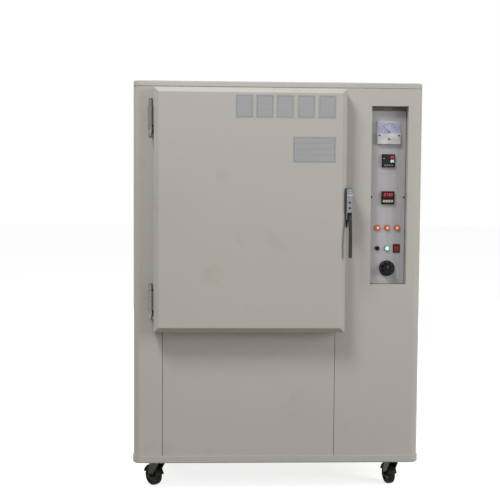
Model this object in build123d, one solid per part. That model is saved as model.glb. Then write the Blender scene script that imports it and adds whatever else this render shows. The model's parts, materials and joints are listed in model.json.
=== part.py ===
from build123d import *
import math
import os

# Environmental test chamber on four casters, with a side-hinged door.
# Millimetres. +Z is up, the front faces -Y, the floor is at z = 0.
# While it is built, y = 0 is the front face of the cabinet; export() centres the depth.

# Cabinet
cabinet_depth = 750.0
cabinet_height = 1407.0  # underside of the tray to the top of the cap
corner_radius = 28.0
sheet = 2.0
rail_height = 27.5
rail_outset = 3.0
rail_width = 12.0
rail_edge_round = 6.0
tray_floor = 3.0
cap_height = 19.5
cap_gap = 2.0
cap_edge_round = 5.0
cap_skirt_drop = 12.0
skirt_clearance = 0.5
seam_gap = 1.5
seam_flange = 15.0
left_seam_clearance = 7.5  # from the insulation to the left front seam
right_seam_clearance = 9.5
rear_return = 50.0

# Casters
caster_height = 112.0
wheel_diameter = 76.0
wheel_width = 28.0
caster_side_inset = 83.0
caster_end_inset = 92.0
caster_trail = 20.0
caster_plate_length = 95.0
caster_plate_width = 70.0
caster_plate_thickness = 3.0
race_diameter = 56.0
race_height = 9.0
crown_thickness = 5.0
kingpin_diameter = 10.0
fork_leg_thickness = 3.0
axle_diameter = 8.0
axle_nut_size = 13.0
axle_nut_thickness = 7.0
caster_angles = {
    "front_left": 42.0,
    "front_right": 13.0,
    "rear_left": 100.0,
    "rear_right": -25.0,
}

# Clearances
running_clearance = 0.05  # radial, for a pin in its bore
face_clearance = 0.3  # between parts that move past each other
cut_margin = 1.0  # how far a cutting tool runs past a face

# Door
door_inset = 78.0  # from the left side of the cabinet
door_side_overlap = 97.0  # past each side of the chamber's mouth
door_end_overlap = 140.5  # past its top and bottom
door_rise = 497.0  # above the tray's underside
door_thickness = 69.0
door_bevel_width = 22.0
door_bevel_depth = 18.0
door_flange = 20.0
seal_gap = 6.0
inner_panel_thickness = 1.5
gasket_offset = 15.0
gasket_width = 22.0

# Chamber
chamber_width = 500.0
chamber_height = 600.0
chamber_depth = 500.0
liner_sheet = 1.5
liner_flange = 15.0
insulation_wall = 58.0
baffle_distance = 55.0  # from the rear wall of the chamber
baffle_hole = 14.0
baffle_columns = 9
baffle_rows = 11
shelf_rises = {"lower_shelf": 170.0, "upper_shelf": 380.0}
shelf_depth = 410.0
shelf_rod = 8.0
shelf_wire = 4.0
shelf_wires = 15
shelf_side_gap = 4.0
shelf_setback = 15.0
runner_size = 16.0
runner_sheet = 1.5

# Fan, heater and probe
fan_diameter = 220.0
fan_depth = 26.0
fan_blades = 10
fan_blade_thickness = 2.0
fan_shaft = 12.0
fan_wall_gap = 8.0
shaft_hole = 16.0
motor_diameter = 120.0
motor_length = 110.0
motor_flange = 160.0
motor_flange_thickness = 4.0
heater_ring_radius = 130.0
heater_tube = 10.0
heater_gap_angle = 16.0
probe_diameter = 6.0
probe_reach = 90.0
probe_height = 560.0

# Hinges
hinge_rises = (42.0, 707.0)  # above the foot of the door
hinge_length = 135.0
hinge_low_knuckle = 37.0
hinge_high_knuckle = 72.0
hinge_barrel = 21.0
hinge_axis_out = 40.0  # in front of the cabinet's face
hinge_door_gap = 1.0
hinge_pin = 9.0
hinge_plate = 3.0
hinge_foot_width = 44.0

# Latch
latch_rise = 418.0  # bottom of the case above the foot of the door
latch_case_height = 107.0
latch_width = 22.5
latch_case_front = -71.0
latch_case_back = -22.0
latch_plate = 2.5
latch_cheek = 3.0
latch_pin = 8.0
latch_pivot_y = -52.0
latch_pivot_rise = 424.0
lever_boss = 22.0
lever_length = 150.0
lever_thickness = 8.0
cam_thickness = 4.2
roller_diameter = 12.0
roller_y = -16.0
hook_clearance = 1.0
keeper_ear = 4.0
keeper_stub = 5.0

# Control pocket and what is on its plate
pocket_width = 134.6
pocket_height = 656.0
pocket_depth = 32.0
pocket_inset = 54.4  # from the right side of the cabinet
door_to_pocket = 99.0
pocket_rise = 667.0
pocket_sheet = 1.5
pocket_ledge = 14.0
plate_thickness = 2.0
plate_clearance = 0.5
column_offset = 0.5  # instrument column from the pocket's middle

meter_rise = 1227.5
meter_width = 86.0
meter_height = 85.0
meter_front = 12.0
meter_base = 3.0
meter_window_share = 46.0  # height of the clear upper part
meter_wall = 1.5
meter_body = 58.0
meter_body_length = 40.0
needle_length = 30.0
needle_pivot_rise = 4.0  # above the middle of the meter
needle_rest_angle = -45.0
needle_shaft = 2.0

din_bezel = 48.0
din_cutout = 45.0
din_bezel_front = 8.0
din_body_length = 75.0
controller_rise = 1124.5
timer_rise = 988.0
timer_keys = 4
timer_key_width = 8.0
timer_key_height = 9.0
timer_key_pitch = 10.0
timer_key_drop = 12.5
timer_key_travel = 0.8
timer_key_proud = 1.2

lamp_rise = 876.0
lower_lamp_rise = 800.0
lamp_pitch = 36.5
lamp_bezel = 23.0
lamp_bezel_front = 4.0
lamp_lens = 17.0
lamp_lens_front = 9.0
lamp_body = 16.0
lamp_body_length = 30.0
buzzer_diameter = 16.5
buzzer_front = 5.0
rocker_rise = 800.0
rocker_frame_width = 26.0
rocker_frame_height = 32.0
rocker_frame_front = 2.5
rocker_width = 18.0
rocker_height = 23.2
rocker_rest_tilt = 8.0
knob_rise = 726.0
knob_diameter = 58.0
knob_skirt = 5.0
knob_grip = 38.0
knob_front = 26.0
knob_plate_gap = 2.5
knob_bore = 6.0
thermostat_case = 44.0
plate_screw_rise = 990.0
plate_screw_inset = 7.0
screw_head = 7.0
screw_head_height = 2.4

# Labels on the door, left blank: places from the door's middle line and rises from its foot
label_thickness = 0.4
label_rise = 772.5
label_height = 82.5
label_places = (-23.7, 49.3, 122.1, 197.5, 272.7)
label_width = 63.5
notice_place = 227.9
notice_rise = 614.0
notice_width = 154.6
notice_height = 94.0

# Frame of steel angle
angle_leg = 30.0
angle_thickness = 3.0
post_inset = 14.0

# Rear
vent_slots = 9
vent_slot_length = 130.0
vent_slot_height = 6.0
vent_pitch = 18.0
rear_screw_inset = 12.0
gland_bore = 12.0
gland_thread = 20.0
gland_hex = 26.0
gland_reach = 28.0
gland_inside = 12.0
gland_rise = 90.0

# Sizes and places worked out from the values above
door_width = chamber_width + 2 * door_side_overlap
door_height = chamber_height + 2 * door_end_overlap
cabinet_width = door_inset + door_width + door_to_pocket + pocket_width + pocket_inset
z_tray = caster_height
z_panel = z_tray + rail_height
z_top = z_tray + cabinet_height
z_cap = z_top - cap_height
z_panel_top = z_cap - cap_gap
x_left = -cabinet_width / 2
x_right = cabinet_width / 2

door_left = x_left + door_inset
door_right = door_left + door_width
door_low = z_tray + door_rise
door_top = door_low + door_height
door_back = -seal_gap
door_front = door_back - door_thickness
door_mid_x = (door_left + door_right) / 2
door_mid_z = (door_low + door_top) / 2

chamber_left = door_mid_x - chamber_width / 2
chamber_right = door_mid_x + chamber_width / 2
chamber_low = door_mid_z - chamber_height / 2
chamber_top = door_mid_z + chamber_height / 2
chamber_front = sheet
chamber_rear = chamber_front + chamber_depth
insulation_rear = chamber_rear + liner_sheet + insulation_wall
x_seam_left = chamber_left - liner_sheet - insulation_wall - left_seam_clearance
x_seam_right = chamber_right + liner_sheet + insulation_wall + right_seam_clearance

hinge_x = door_left - hinge_door_gap - hinge_barrel / 2
hinge_y = -hinge_axis_out

pocket_mid_x = x_right - pocket_inset - pocket_width / 2
pocket_low = z_tray + pocket_rise
pocket_mid_z = pocket_low + pocket_height / 2
plate_front = pocket_depth
column_x = pocket_mid_x + column_offset

lever_tip_y = -87.0
rear_reach = cabinet_depth + gland_reach
front_reach = max(-lever_tip_y, label_thickness - door_front)
depth_shift = -(rear_reach - front_reach) / 2

fan_y = chamber_rear - fan_wall_gap - fan_depth


def block(x0, x1, y0, y1, z0, z1):
    """A box between two corners."""
    middle = Pos((x0 + x1) / 2, (y0 + y1) / 2, (z0 + z1) / 2)
    return middle * Box(x1 - x0, y1 - y0, z1 - z0)


def around(x, z, width, height, y0, y1):
    """A box centred on a point of the front, between two depths."""
    return block(x - width / 2, x + width / 2, y0, y1, z - height / 2, z + height / 2)


def upright(x, y, z0, z1, diameter):
    """A vertical cylinder."""
    return Pos(x, y, (z0 + z1) / 2) * Cylinder(diameter / 2, z1 - z0)


def along_y(x, z, y0, y1, diameter):
    """A cylinder that points front to back."""
    return Pos(x, (y0 + y1) / 2, z) * Rot(X=90) * Cylinder(diameter / 2, y1 - y0)


def along_x(y, z, x0, x1, diameter):
    """A cylinder that points left to right."""
    return Pos((x0 + x1) / 2, y, z) * Rot(Y=90) * Cylinder(diameter / 2, x1 - x0)


def hex_along_y(x, z, y0, y1, flats):
    """A hexagonal prism that points front to back."""
    radius = flats / math.sqrt(3)
    prism = extrude(RegularPolygon(radius, 6), amount=y1 - y0)
    return Pos(x, y1, z) * Rot(X=90) * prism


def rounded_slab(inset, z0, z1):
    """The cabinet's outline in plan, moved inwards by inset, between two heights."""
    outline = RectangleRounded(
        cabinet_width - 2 * inset,
        cabinet_depth - 2 * inset,
        max(corner_radius - inset, 1.0),
    )
    return Pos(0, cabinet_depth / 2, z0) * extrude(outline, amount=z1 - z0)


def side_profile(points, x0, x1):
    """A solid between two x values, from an outline given as (y, z) points."""
    face = Plane.YZ * make_face(Polyline(*points, close=True))
    return Pos(x0, 0, 0) * extrude(face, amount=x1 - x0, dir=(1, 0, 0))


def joined(pieces):
    """Fuses a list of pieces."""
    total = pieces[0]
    for piece in pieces[1:]:
        total = total + piece
    return total


def export(name, *pieces):
    """Writes one sub-part, moved so that the whole object is centred in depth."""
    moved = [Pos(0, depth_shift, 0) * piece for piece in pieces]
    solids = [solid for piece in moved for solid in piece.solids()]
    shape = solids[0] if len(solids) == 1 else Compound(children=solids)
    export_step(shape, f"parts/{name}.step")


# Cabinet shell

def base_tray():
    outer = rounded_slab(-rail_outset, z_tray, z_panel)
    low_edges = outer.edges().group_by(Axis.Z)[0]
    outer = fillet(low_edges, rail_edge_round)
    hollow = rounded_slab(rail_width - rail_outset, z_tray + tray_floor, z_panel + cut_margin)
    return outer - hollow


def panel_ring():
    """The painted sheet all round the cabinet, before it is split into panels."""
    return rounded_slab(0, z_panel, z_panel_top) - rounded_slab(sheet, z_panel, z_panel_top)


def front_flange(x):
    """The fold behind a front seam, stopped below the cap's skirt: x is its left face."""
    top = z_cap - cap_skirt_drop - skirt_clearance
    return block(x, x + sheet, sheet / 2, sheet + seam_flange, z_panel, top)


def left_side_panel():
    front = block(x_left, x_seam_left - seam_gap / 2, 0, cabinet_depth / 2, z_panel, z_panel_top)
    rear = block(x_left, x_left + rear_return, cabinet_depth / 2, cabinet_depth, z_panel, z_panel_top)
    panel = panel_ring() & (front + rear)
    return panel + front_flange(x_seam_left - seam_gap / 2 - sheet)


def right_side_panel():
    front = block(x_seam_right + seam_gap / 2, x_right, 0, cabinet_depth / 2, z_panel, z_panel_top)
    rear = block(x_right - rear_return, x_right, cabinet_depth / 2, cabinet_depth, z_panel, z_panel_top)
    panel = panel_ring() & (front + rear)
    panel = panel + front_flange(x_seam_right + seam_gap / 2)
    window = around(
        pocket_mid_x, pocket_mid_z, pocket_width, pocket_height, -cut_margin, sheet + cut_margin,
    )
    return panel - window


def front_centre_panel():
    left = x_seam_left + seam_gap / 2
    right = x_seam_right - seam_gap / 2
    panel = block(left, right, 0, sheet, z_panel, z_panel_top)
    panel = panel + front_flange(left) + front_flange(right - sheet)
    mouth = around(door_mid_x, door_mid_z, chamber_width, chamber_height, -cut_margin, sheet + cut_margin)
    return panel - mouth


def rear_screw_places():
    """Screws down both edges of the rear panel, as (x, z)."""
    reach = cabinet_width / 2 - rear_return - rear_screw_inset
    rows = 5
    low = z_panel + 40
    step = (z_panel_top - 40 - low) / (rows - 1)
    return [(side * reach, low + step * row) for side in (-1, 1) for row in range(rows)]


def gland_place():
    return x_right - 150.0, z_tray + gland_rise


def vent_middles():
    """Middle of each vent slot on the rear panel, as (x, z)."""
    places = []
    for x in (-cabinet_width / 4, cabinet_width / 4):
        for base in (z_panel + 120, z_panel_top - 120 - vent_pitch * vent_slots):
            places += [(x, base + vent_pitch * slot) for slot in range(vent_slots)]
    return places


def rear_panel():
    half = cabinet_width / 2 - rear_return - seam_gap
    panel = block(-half, half, cabinet_depth - sheet, cabinet_depth, z_panel, z_panel_top)
    for x, z in vent_middles():
        slot = around(x, z, vent_slot_length, vent_slot_height, cabinet_depth - 5, cabinet_depth + 5)
        panel = panel - slot
    for x, z in rear_screw_places():
        panel = panel - along_y(x, z, cabinet_depth - 5, cabinet_depth + 5, screw_head / 2)
    x, z = gland_place()
    return panel - along_y(x, z, cabinet_depth - 5, cabinet_depth + 5, gland_thread)


def top_cap():
    wall = sheet + skirt_clearance + sheet
    outer = rounded_slab(0, z_cap, z_top)
    outer = fillet(outer.edges().group_by(Axis.Z)[-1], cap_edge_round)
    skirt = rounded_slab(sheet + skirt_clearance, z_cap - cap_skirt_drop, z_cap)
    hollow = rounded_slab(wall, z_cap - cap_skirt_drop - cut_margin, z_top - sheet)
    return outer + skirt - hollow


def screw(x, y, z, toward):
    """A round-head screw whose head stands on a face at y, towards -1 (front) or +1 (rear)."""
    shank = screw_head / 2 - 0.2
    ends = sorted((y, y + toward * screw_head_height))
    head = along_y(x, z, ends[0], ends[1], screw_head)
    rim = head.edges().filter_by(GeomType.CIRCLE).sort_by(Axis.Y)
    head = fillet(rim[0] if toward < 0 else rim[-1], screw_head_height * 0.6)
    inner = sorted((y, y - toward * 8))
    return head + along_y(x, z, inner[0], inner[1], shank)


def plate_screw_places():
    reach = pocket_width / 2 - plate_screw_inset
    return [(pocket_mid_x + side * reach, z_tray + plate_screw_rise) for side in (-1, 1)]


def panel_screws():
    rear = [screw(x, cabinet_depth, z, 1) for x, z in rear_screw_places()]
    front = [screw(x, plate_front, z, -1) for x, z in plate_screw_places()]
    return rear + front


def angle_bar(x0, x1, y0, y1, z0, z1, x_web, y_web, z_web):
    """Steel angle in a box: each web is -1, 0 or 1, the side of the box where a leg lies."""
    legs = []
    if x_web:
        at = x0 if x_web < 0 else x1 - angle_thickness
        legs.append(block(at, at + angle_thickness, y0, y1, z0, z1))
    if y_web:
        at = y0 if y_web < 0 else y1 - angle_thickness
        legs.append(block(x0, x1, at, at + angle_thickness, z0, z1))
    if z_web:
        at = z0 if z_web < 0 else z1 - angle_thickness
        legs.append(block(x0, x1, y0, y1, at, at + angle_thickness))
    return legs[0] + legs[1]


def support_frame():
    """Four posts and the beams that carry the chamber and the cap, welded into one."""
    near = sheet + post_inset
    far = near + angle_leg
    foot = z_tray + tray_floor
    head = z_top - sheet
    bars = []
    for side in (-1, 1):
        x0, x1 = sorted((side * (x_right - near), side * (x_right - far)))
        for end in (-1, 1):
            y0, y1 = (near, far) if end < 0 else (cabinet_depth - far, cabinet_depth - near)
            bars.append(angle_bar(x0, x1, y0, y1, foot, head, side, end, 0))
        for low in (insulation_low() - angle_leg, head - angle_leg):
            top = low + angle_leg
            bars.append(angle_bar(x0, x1, far - 5, cabinet_depth - far + 5, low, top, side, 0, 1))
    for low in (insulation_low() - angle_leg, head - angle_leg):
        rear = insulation_rear + motor_flange_thickness + 6
        for y0 in (far, rear):
            reach = x_right - near
            bars.append(angle_bar(-reach, reach, y0, y0 + angle_leg, low, low + angle_leg, 0, -1, 1))
    for side in (-1, 1):
        x0, x1 = sorted((door_mid_x + side * 200, door_mid_x + side * (200 + angle_leg)))
        low = insulation_low() - angle_leg
        bars.append(angle_bar(x0, x1, far, rear + angle_leg, low, low + angle_leg, side, 0, 1))
    return joined(bars)


def insulation_low():
    return chamber_low - liner_sheet - insulation_wall


# Chamber

def chamber_liner():
    outer = block(
        chamber_left - liner_sheet, chamber_right + liner_sheet,
        chamber_front, chamber_rear + liner_sheet,
        chamber_low - liner_sheet, chamber_top + liner_sheet,
    )
    flange = around(
        door_mid_x, door_mid_z,
        chamber_width + 2 * (liner_sheet + liner_flange), chamber_height + 2 * (liner_sheet + liner_flange),
        chamber_front, chamber_front + liner_sheet,
    )
    room = around(
        door_mid_x, door_mid_z, chamber_width, chamber_height,
        chamber_front - cut_margin, chamber_rear,
    )
    liner = outer + flange - room
    for tool in wall_holes():
        liner = liner - tool
    return liner


def wall_holes():
    """Holes through the liner and insulation for the fan shaft, heater legs and probe."""
    rear = insulation_rear + cut_margin
    holes = [along_y(door_mid_x, door_mid_z, chamber_rear - cut_margin, rear, shaft_hole)]
    for x, z in heater_leg_places():
        holes.append(along_y(x, z, chamber_rear - cut_margin, rear, heater_tube + 1))
    wall = chamber_right + liner_sheet + insulation_wall
    start = chamber_right - cut_margin
    holes.append(along_x(probe_y(), probe_z(), start, wall + cut_margin, probe_diameter + 1))
    return holes


def probe_y():
    return chamber_rear - baffle_distance - 30


def probe_z():
    return chamber_low + probe_height


def chamber_insulation():
    wall = liner_sheet + insulation_wall
    outer = block(
        chamber_left - wall, chamber_right + wall,
        chamber_front + liner_sheet, insulation_rear,
        chamber_low - wall, chamber_top + wall,
    )
    liner_space = block(
        chamber_left - liner_sheet, chamber_right + liner_sheet,
        chamber_front, chamber_rear + liner_sheet,
        chamber_low - liner_sheet, chamber_top + liner_sheet,
    )
    body = outer - liner_space
    for tool in wall_holes():
        body = body - tool
    return body


def air_baffle():
    y = chamber_rear - baffle_distance
    width = chamber_width - 2 * plate_clearance
    height = chamber_height - 2 * plate_clearance
    plate = around(door_mid_x, door_mid_z, width, height, y, y + liner_sheet)
    for side in (-1, 1):
        x0, x1 = sorted((side * width / 2, side * (width / 2 - liner_sheet)))
        plate = plate + block(
            door_mid_x + x0, door_mid_x + x1, y, chamber_rear,
            door_mid_z - height / 2, door_mid_z + height / 2,
        )
    hole = Rot(X=90) * Cylinder(baffle_hole / 2, 4 * liner_sheet)
    pitch_x = (width - 60) / (baffle_columns - 1)
    pitch_z = (height - 80) / (baffle_rows - 1)
    for column in range(baffle_columns):
        for row in range(baffle_rows):
            x = door_mid_x + (column - (baffle_columns - 1) / 2) * pitch_x
            z = door_mid_z + (row - (baffle_rows - 1) / 2) * pitch_z
            plate = plate - Pos(x, y + liner_sheet / 2, z) * hole
    return plate


def shelf_runners():
    """Four steel angles, a pair for each shelf, on the chamber's side walls."""
    rails = []
    y0 = chamber_front + 10
    y1 = chamber_rear - baffle_distance - 2
    for rise in shelf_rises.values():
        z = chamber_low + rise
        for side in (-1, 1):
            wall = door_mid_x + side * chamber_width / 2
            x0, x1 = sorted((wall, wall - side * runner_size))
            tall_x0, tall_x1 = sorted((wall, wall - side * runner_sheet))
            leg = block(x0, x1, y0, y1, z - runner_sheet, z)
            rails.append(leg + block(tall_x0, tall_x1, y0, y1, z - runner_size, z))
    return rails


def shelf(rise):
    """A wire shelf: a rod frame with wires from front to back, and two cross wires."""
    half = chamber_width / 2 - shelf_side_gap - shelf_rod / 2
    z = chamber_low + rise + shelf_rod / 2 + face_clearance
    y0 = chamber_front + shelf_setback + shelf_rod / 2
    y1 = y0 + shelf_depth - shelf_rod
    rods = []
    for y in (y0, y1):
        rods.append(along_x(y, z, door_mid_x - half, door_mid_x + half, shelf_rod))
    for side in (-1, 1):
        x = door_mid_x + side * half
        rods.append(along_y(x, z, y0, y1, shelf_rod))
        for y in (y0, y1):
            rods.append(Pos(x, y, z) * Sphere(shelf_rod / 2))
    for wire in range(shelf_wires):
        x = door_mid_x - half + 2 * half * (wire + 1) / (shelf_wires + 1)
        rods.append(along_y(x, z + 1, y0, y1, shelf_wire))
    for share in (1 / 3, 2 / 3):
        y = y0 + (y1 - y0) * share
        rods.append(along_x(y, z - 1.5, door_mid_x - half, door_mid_x + half, shelf_wire))
    return joined(rods)


# Fan, heater and probe

def fan_motor():
    rear = insulation_rear
    flange = around(door_mid_x, door_mid_z, motor_flange, motor_flange, rear, rear + motor_flange_thickness)
    body = along_y(
        door_mid_x, door_mid_z,
        rear + motor_flange_thickness, rear + motor_flange_thickness + motor_length, motor_diameter,
    )
    body = fillet(body.edges().filter_by(GeomType.CIRCLE).sort_by(Axis.Y)[-1], 8)
    shaft = along_y(door_mid_x, door_mid_z, fan_y - 2, rear, fan_shaft)
    box = around(door_mid_x, door_mid_z + motor_diameter / 2 + 12, 60, 30, rear + 30, rear + 90)
    motor = flange + body + shaft + box
    for side in (-1, 1):
        low = insulation_low() - angle_thickness
        high = z_top - sheet - angle_leg
        strap = block(
            door_mid_x + side * 60 - 12, door_mid_x + side * 60 + 12,
            rear + motor_flange_thickness, rear + motor_flange_thickness + 6, low, high,
        )
        motor = motor + strap
    return motor


def fan_impeller():
    """Back plate, front ring, hub and straight blades of a radial fan."""
    back = fan_y + fan_depth
    hub_bore = fan_shaft + 2 * running_clearance
    plate = along_y(door_mid_x, door_mid_z, back - fan_blade_thickness, back, fan_diameter)
    ring = along_y(door_mid_x, door_mid_z, fan_y, fan_y + fan_blade_thickness, fan_diameter)
    ring = ring - along_y(door_mid_x, door_mid_z, fan_y - 1, fan_y + 5, fan_diameter - 50)
    hub = along_y(door_mid_x, door_mid_z, fan_y + 4, back, 34)
    wheel = plate + ring + hub
    for blade in range(fan_blades):
        angle = 360 / fan_blades * blade
        vane = Pos(fan_diameter / 2 - 22, 0, 0) * Box(42, fan_depth, fan_blade_thickness)
        wheel = wheel + Pos(door_mid_x, fan_y + fan_depth / 2, door_mid_z) * Rot(Y=angle) * vane
    return wheel - along_y(door_mid_x, door_mid_z, fan_y - 1, back + 1, hub_bore)


def heater_leg_places():
    """Ends of the heater ring, where its legs go back through the wall, as (x, z)."""
    half = math.radians(heater_gap_angle / 2)
    reach = heater_ring_radius
    return [
        (door_mid_x + side * reach * math.sin(half), door_mid_z - reach * math.cos(half))
        for side in (-1, 1)
    ]


def heater_ring():
    """One ring round the fan, with two legs that run back to their terminals."""
    y = fan_y + fan_depth / 2
    start = 270 + heater_gap_angle / 2
    path = Plane.XZ * CenterArc((0, 0), heater_ring_radius, start, 360 - heater_gap_angle)
    start_plane = Plane(origin=path @ 0, z_dir=path % 0)
    ring = sweep(start_plane * Circle(heater_tube / 2), path=path)
    ring = Pos(door_mid_x, y, door_mid_z) * ring
    for x, z in heater_leg_places():
        ring = ring + Pos(x, y, z) * Sphere(heater_tube / 2)
        ring = ring + along_y(x, z, y, insulation_rear + 20, heater_tube)
    return ring


def temperature_probe():
    outside = chamber_right + liner_sheet + insulation_wall
    stem = along_x(probe_y(), probe_z(), chamber_right - probe_reach, outside + 12, probe_diameter)
    head = along_x(probe_y(), probe_z(), outside, outside + 14, 18)
    return stem + head


# Door

def door_block(inset):
    """The door's outer form with its front bevels, moved inwards by inset."""
    width = door_width - 2 * inset
    height = door_height - 2 * inset
    depth = door_thickness - inset
    full = around(door_mid_x, door_mid_z, width, height, door_back - depth, door_back)
    front_edges = full.edges().group_by(Axis.Y)[0]
    front_face = full.faces().sort_by(Axis.Y)[0]
    return chamfer(front_edges, door_bevel_depth, door_bevel_width, reference=front_face)


def door_shell():
    room = door_block(sheet) & around(
        door_mid_x, door_mid_z, door_width, door_height, door_front, door_back - sheet,
    )
    back_opening = around(
        door_mid_x, door_mid_z, door_width - 2 * door_flange, door_height - 2 * door_flange,
        door_back - 2 * sheet, door_back + cut_margin,
    )
    return door_block(0) - room - back_opening


def door_inner_panel():
    return around(
        door_mid_x, door_mid_z,
        door_width - 2 * (sheet + plate_clearance), door_height - 2 * (sheet + plate_clearance),
        door_back - sheet - inner_panel_thickness, door_back - sheet,
    )


def door_insulation():
    return door_block(sheet + plate_clearance) & around(
        door_mid_x, door_mid_z, door_width, door_height,
        door_front, door_back - sheet - inner_panel_thickness,
    )


def door_gasket():
    """A square ring on the inner panel that meets the cabinet round the chamber's mouth."""
    width = chamber_width + 2 * gasket_offset
    height = chamber_height + 2 * gasket_offset
    back = -face_clearance
    front = door_back - sheet
    ring = around(
        door_mid_x, door_mid_z, width + 2 * gasket_width, height + 2 * gasket_width, front, back,
    )
    ring = fillet(ring.edges().filter_by(Axis.Y), 18)
    ring = ring - around(door_mid_x, door_mid_z, width, height, front - 1, back + 1)
    return fillet(ring.edges().group_by(Axis.Y)[-1], 2)


def door_label_plates():
    y0 = door_front - label_thickness
    plates = []
    for place in label_places:
        z = door_low + label_rise + label_height / 2
        plates.append(around(door_mid_x + place, z, label_width, label_height, y0, door_front))
    z = door_low + notice_rise + notice_height / 2
    plates.append(around(door_mid_x + notice_place, z, notice_width, notice_height, y0, door_front))
    return plates


# Hinges

def hinge_cabinet_leaf(rise):
    """Foot, web and lower knuckle, and the pin with its domed cap as a second solid."""
    z0 = door_low + rise
    knuckle = upright(hinge_x, hinge_y, z0, z0 + hinge_low_knuckle, hinge_barrel)
    taper = 8.0
    knuckle = chamfer(knuckle.edges().filter_by(GeomType.CIRCLE).sort_by(Axis.Z)[0], 22, taper)
    web = block(hinge_x - 4, hinge_x + 4, hinge_y, -1, z0 + 12, z0 + hinge_low_knuckle)
    foot_left = hinge_x - hinge_barrel / 2
    foot = block(
        foot_left, foot_left + hinge_foot_width, -hinge_plate, 0,
        z0, z0 + hinge_low_knuckle + hinge_high_knuckle,
    )
    leaf = knuckle + web + foot
    leaf = leaf - upright(hinge_x, hinge_y, z0 + 10, z0 + hinge_low_knuckle + 1, hinge_pin)
    top = z0 + hinge_low_knuckle + hinge_high_knuckle + face_clearance
    pin = upright(hinge_x, hinge_y, z0 + 10, top + 1, hinge_pin)
    cap = upright(hinge_x, hinge_y, top, z0 + hinge_length, hinge_barrel - 5)
    cap = fillet(cap.edges().filter_by(GeomType.CIRCLE).sort_by(Axis.Z)[-1], 6)
    return [leaf, pin + cap]


def hinge_door_leaf(rise):
    """Upper knuckle with the plate that lies on the side of the door."""
    z0 = door_low + rise + hinge_low_knuckle + face_clearance
    z1 = door_low + rise + hinge_low_knuckle + hinge_high_knuckle
    knuckle = upright(hinge_x, hinge_y, z0, z1, hinge_barrel)
    plate = block(
        door_left - hinge_plate, door_left, door_front + door_bevel_depth + 2, door_back - 4,
        z0 + 2, z1 - 2,
    )
    leaf = knuckle + plate
    return leaf - upright(hinge_x, hinge_y, z0 - 1, z1 + 1, hinge_pin + 2 * running_clearance)


# Latch

latch_x0 = door_right
latch_x1 = door_right + latch_width
cam_x0 = latch_x0 + latch_plate + face_clearance
cam_x1 = cam_x0 + cam_thickness
lever_x0 = cam_x1 + face_clearance
lever_x1 = latch_x1 - latch_cheek - face_clearance
latch_pivot_z = door_low + latch_pivot_rise
roller_z = latch_pivot_z - 19.0


def latch_body():
    """Chrome case on the side of the door, with a plate, a cheek and the pivot pin."""
    z0 = door_low + latch_rise
    z1 = z0 + latch_case_height
    case_low = latch_pivot_z + lever_boss / 2 + 3
    case = block(latch_x0, latch_x1, latch_case_front, latch_case_back, case_low, z1)
    case = fillet(case.edges().filter_by(Axis.X).group_by(Axis.Z)[-1], 12)
    outer_edges = case.faces().sort_by(Axis.X)[-1].edges()
    case = fillet(outer_edges, 4)
    foot = z0 - 8
    plate = block(latch_x0, latch_x0 + latch_plate, latch_case_front + 4, latch_case_back, foot, z1 - 4)
    cheek = block(
        latch_x1 - latch_cheek, latch_x1, latch_case_front + 6, latch_case_back - 8, foot, case_low + 10,
    )
    low = cheek.edges().filter_by(Axis.X).group_by(Axis.Z)[0]
    cheek = fillet(low, 9)
    pin = along_x(latch_pivot_y, latch_pivot_z, latch_x0 + 1, latch_x1 - 1, latch_pin)
    return case + plate + cheek + pin


def pivot_bore(x0, x1):
    return along_x(latch_pivot_y, latch_pivot_z, x0 - 1, x1 + 1, latch_pin + 2 * running_clearance)


def latch_lever():
    """Flat bar that hangs beside the door and bows outwards to its tip."""
    z_tip = latch_pivot_z - lever_length
    knee_z = latch_pivot_z - 34
    outline = [
        (latch_pivot_y - lever_boss / 2, latch_pivot_z + 2),
        (lever_tip_y + 9, knee_z),
        (lever_tip_y, (knee_z + z_tip) / 2),
        (lever_tip_y + 3, z_tip),
        (lever_tip_y + 3 + lever_thickness, z_tip),
        (lever_tip_y + lever_thickness + 1, (knee_z + z_tip) / 2),
        (lever_tip_y + 9 + lever_thickness + 1, knee_z),
        (latch_pivot_y + 2, latch_pivot_z - lever_boss / 2 + 0.5),
    ]
    bar = side_profile(outline, lever_x0, lever_x1)
    bar = fillet(bar.edges().filter_by(Axis.X).group_by(Axis.Z)[0], lever_thickness / 2 - 0.5)
    boss = along_x(latch_pivot_y, latch_pivot_z, lever_x0, lever_x1, lever_boss)
    return boss + bar - pivot_bore(lever_x0, lever_x1)


def latch_cam():
    """Black hook on the lever's pin: its tip lies just under the keeper's roller."""
    tip_top = roller_z - roller_diameter / 2 - hook_clearance
    outline = [
        (latch_pivot_y - 8, latch_pivot_z - 4),
        (latch_pivot_y + 4, tip_top - 16),
        (roller_y + 4, tip_top - 12),
        (roller_y + 8, tip_top),
        (roller_y - 10, tip_top - 3),
        (latch_pivot_y + 10, latch_pivot_z - 2),
    ]
    arm = side_profile(outline, cam_x0, cam_x1)
    boss = along_x(latch_pivot_y, latch_pivot_z, cam_x0, cam_x1, lever_boss)
    return arm + boss - pivot_bore(cam_x0, cam_x1)


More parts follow.
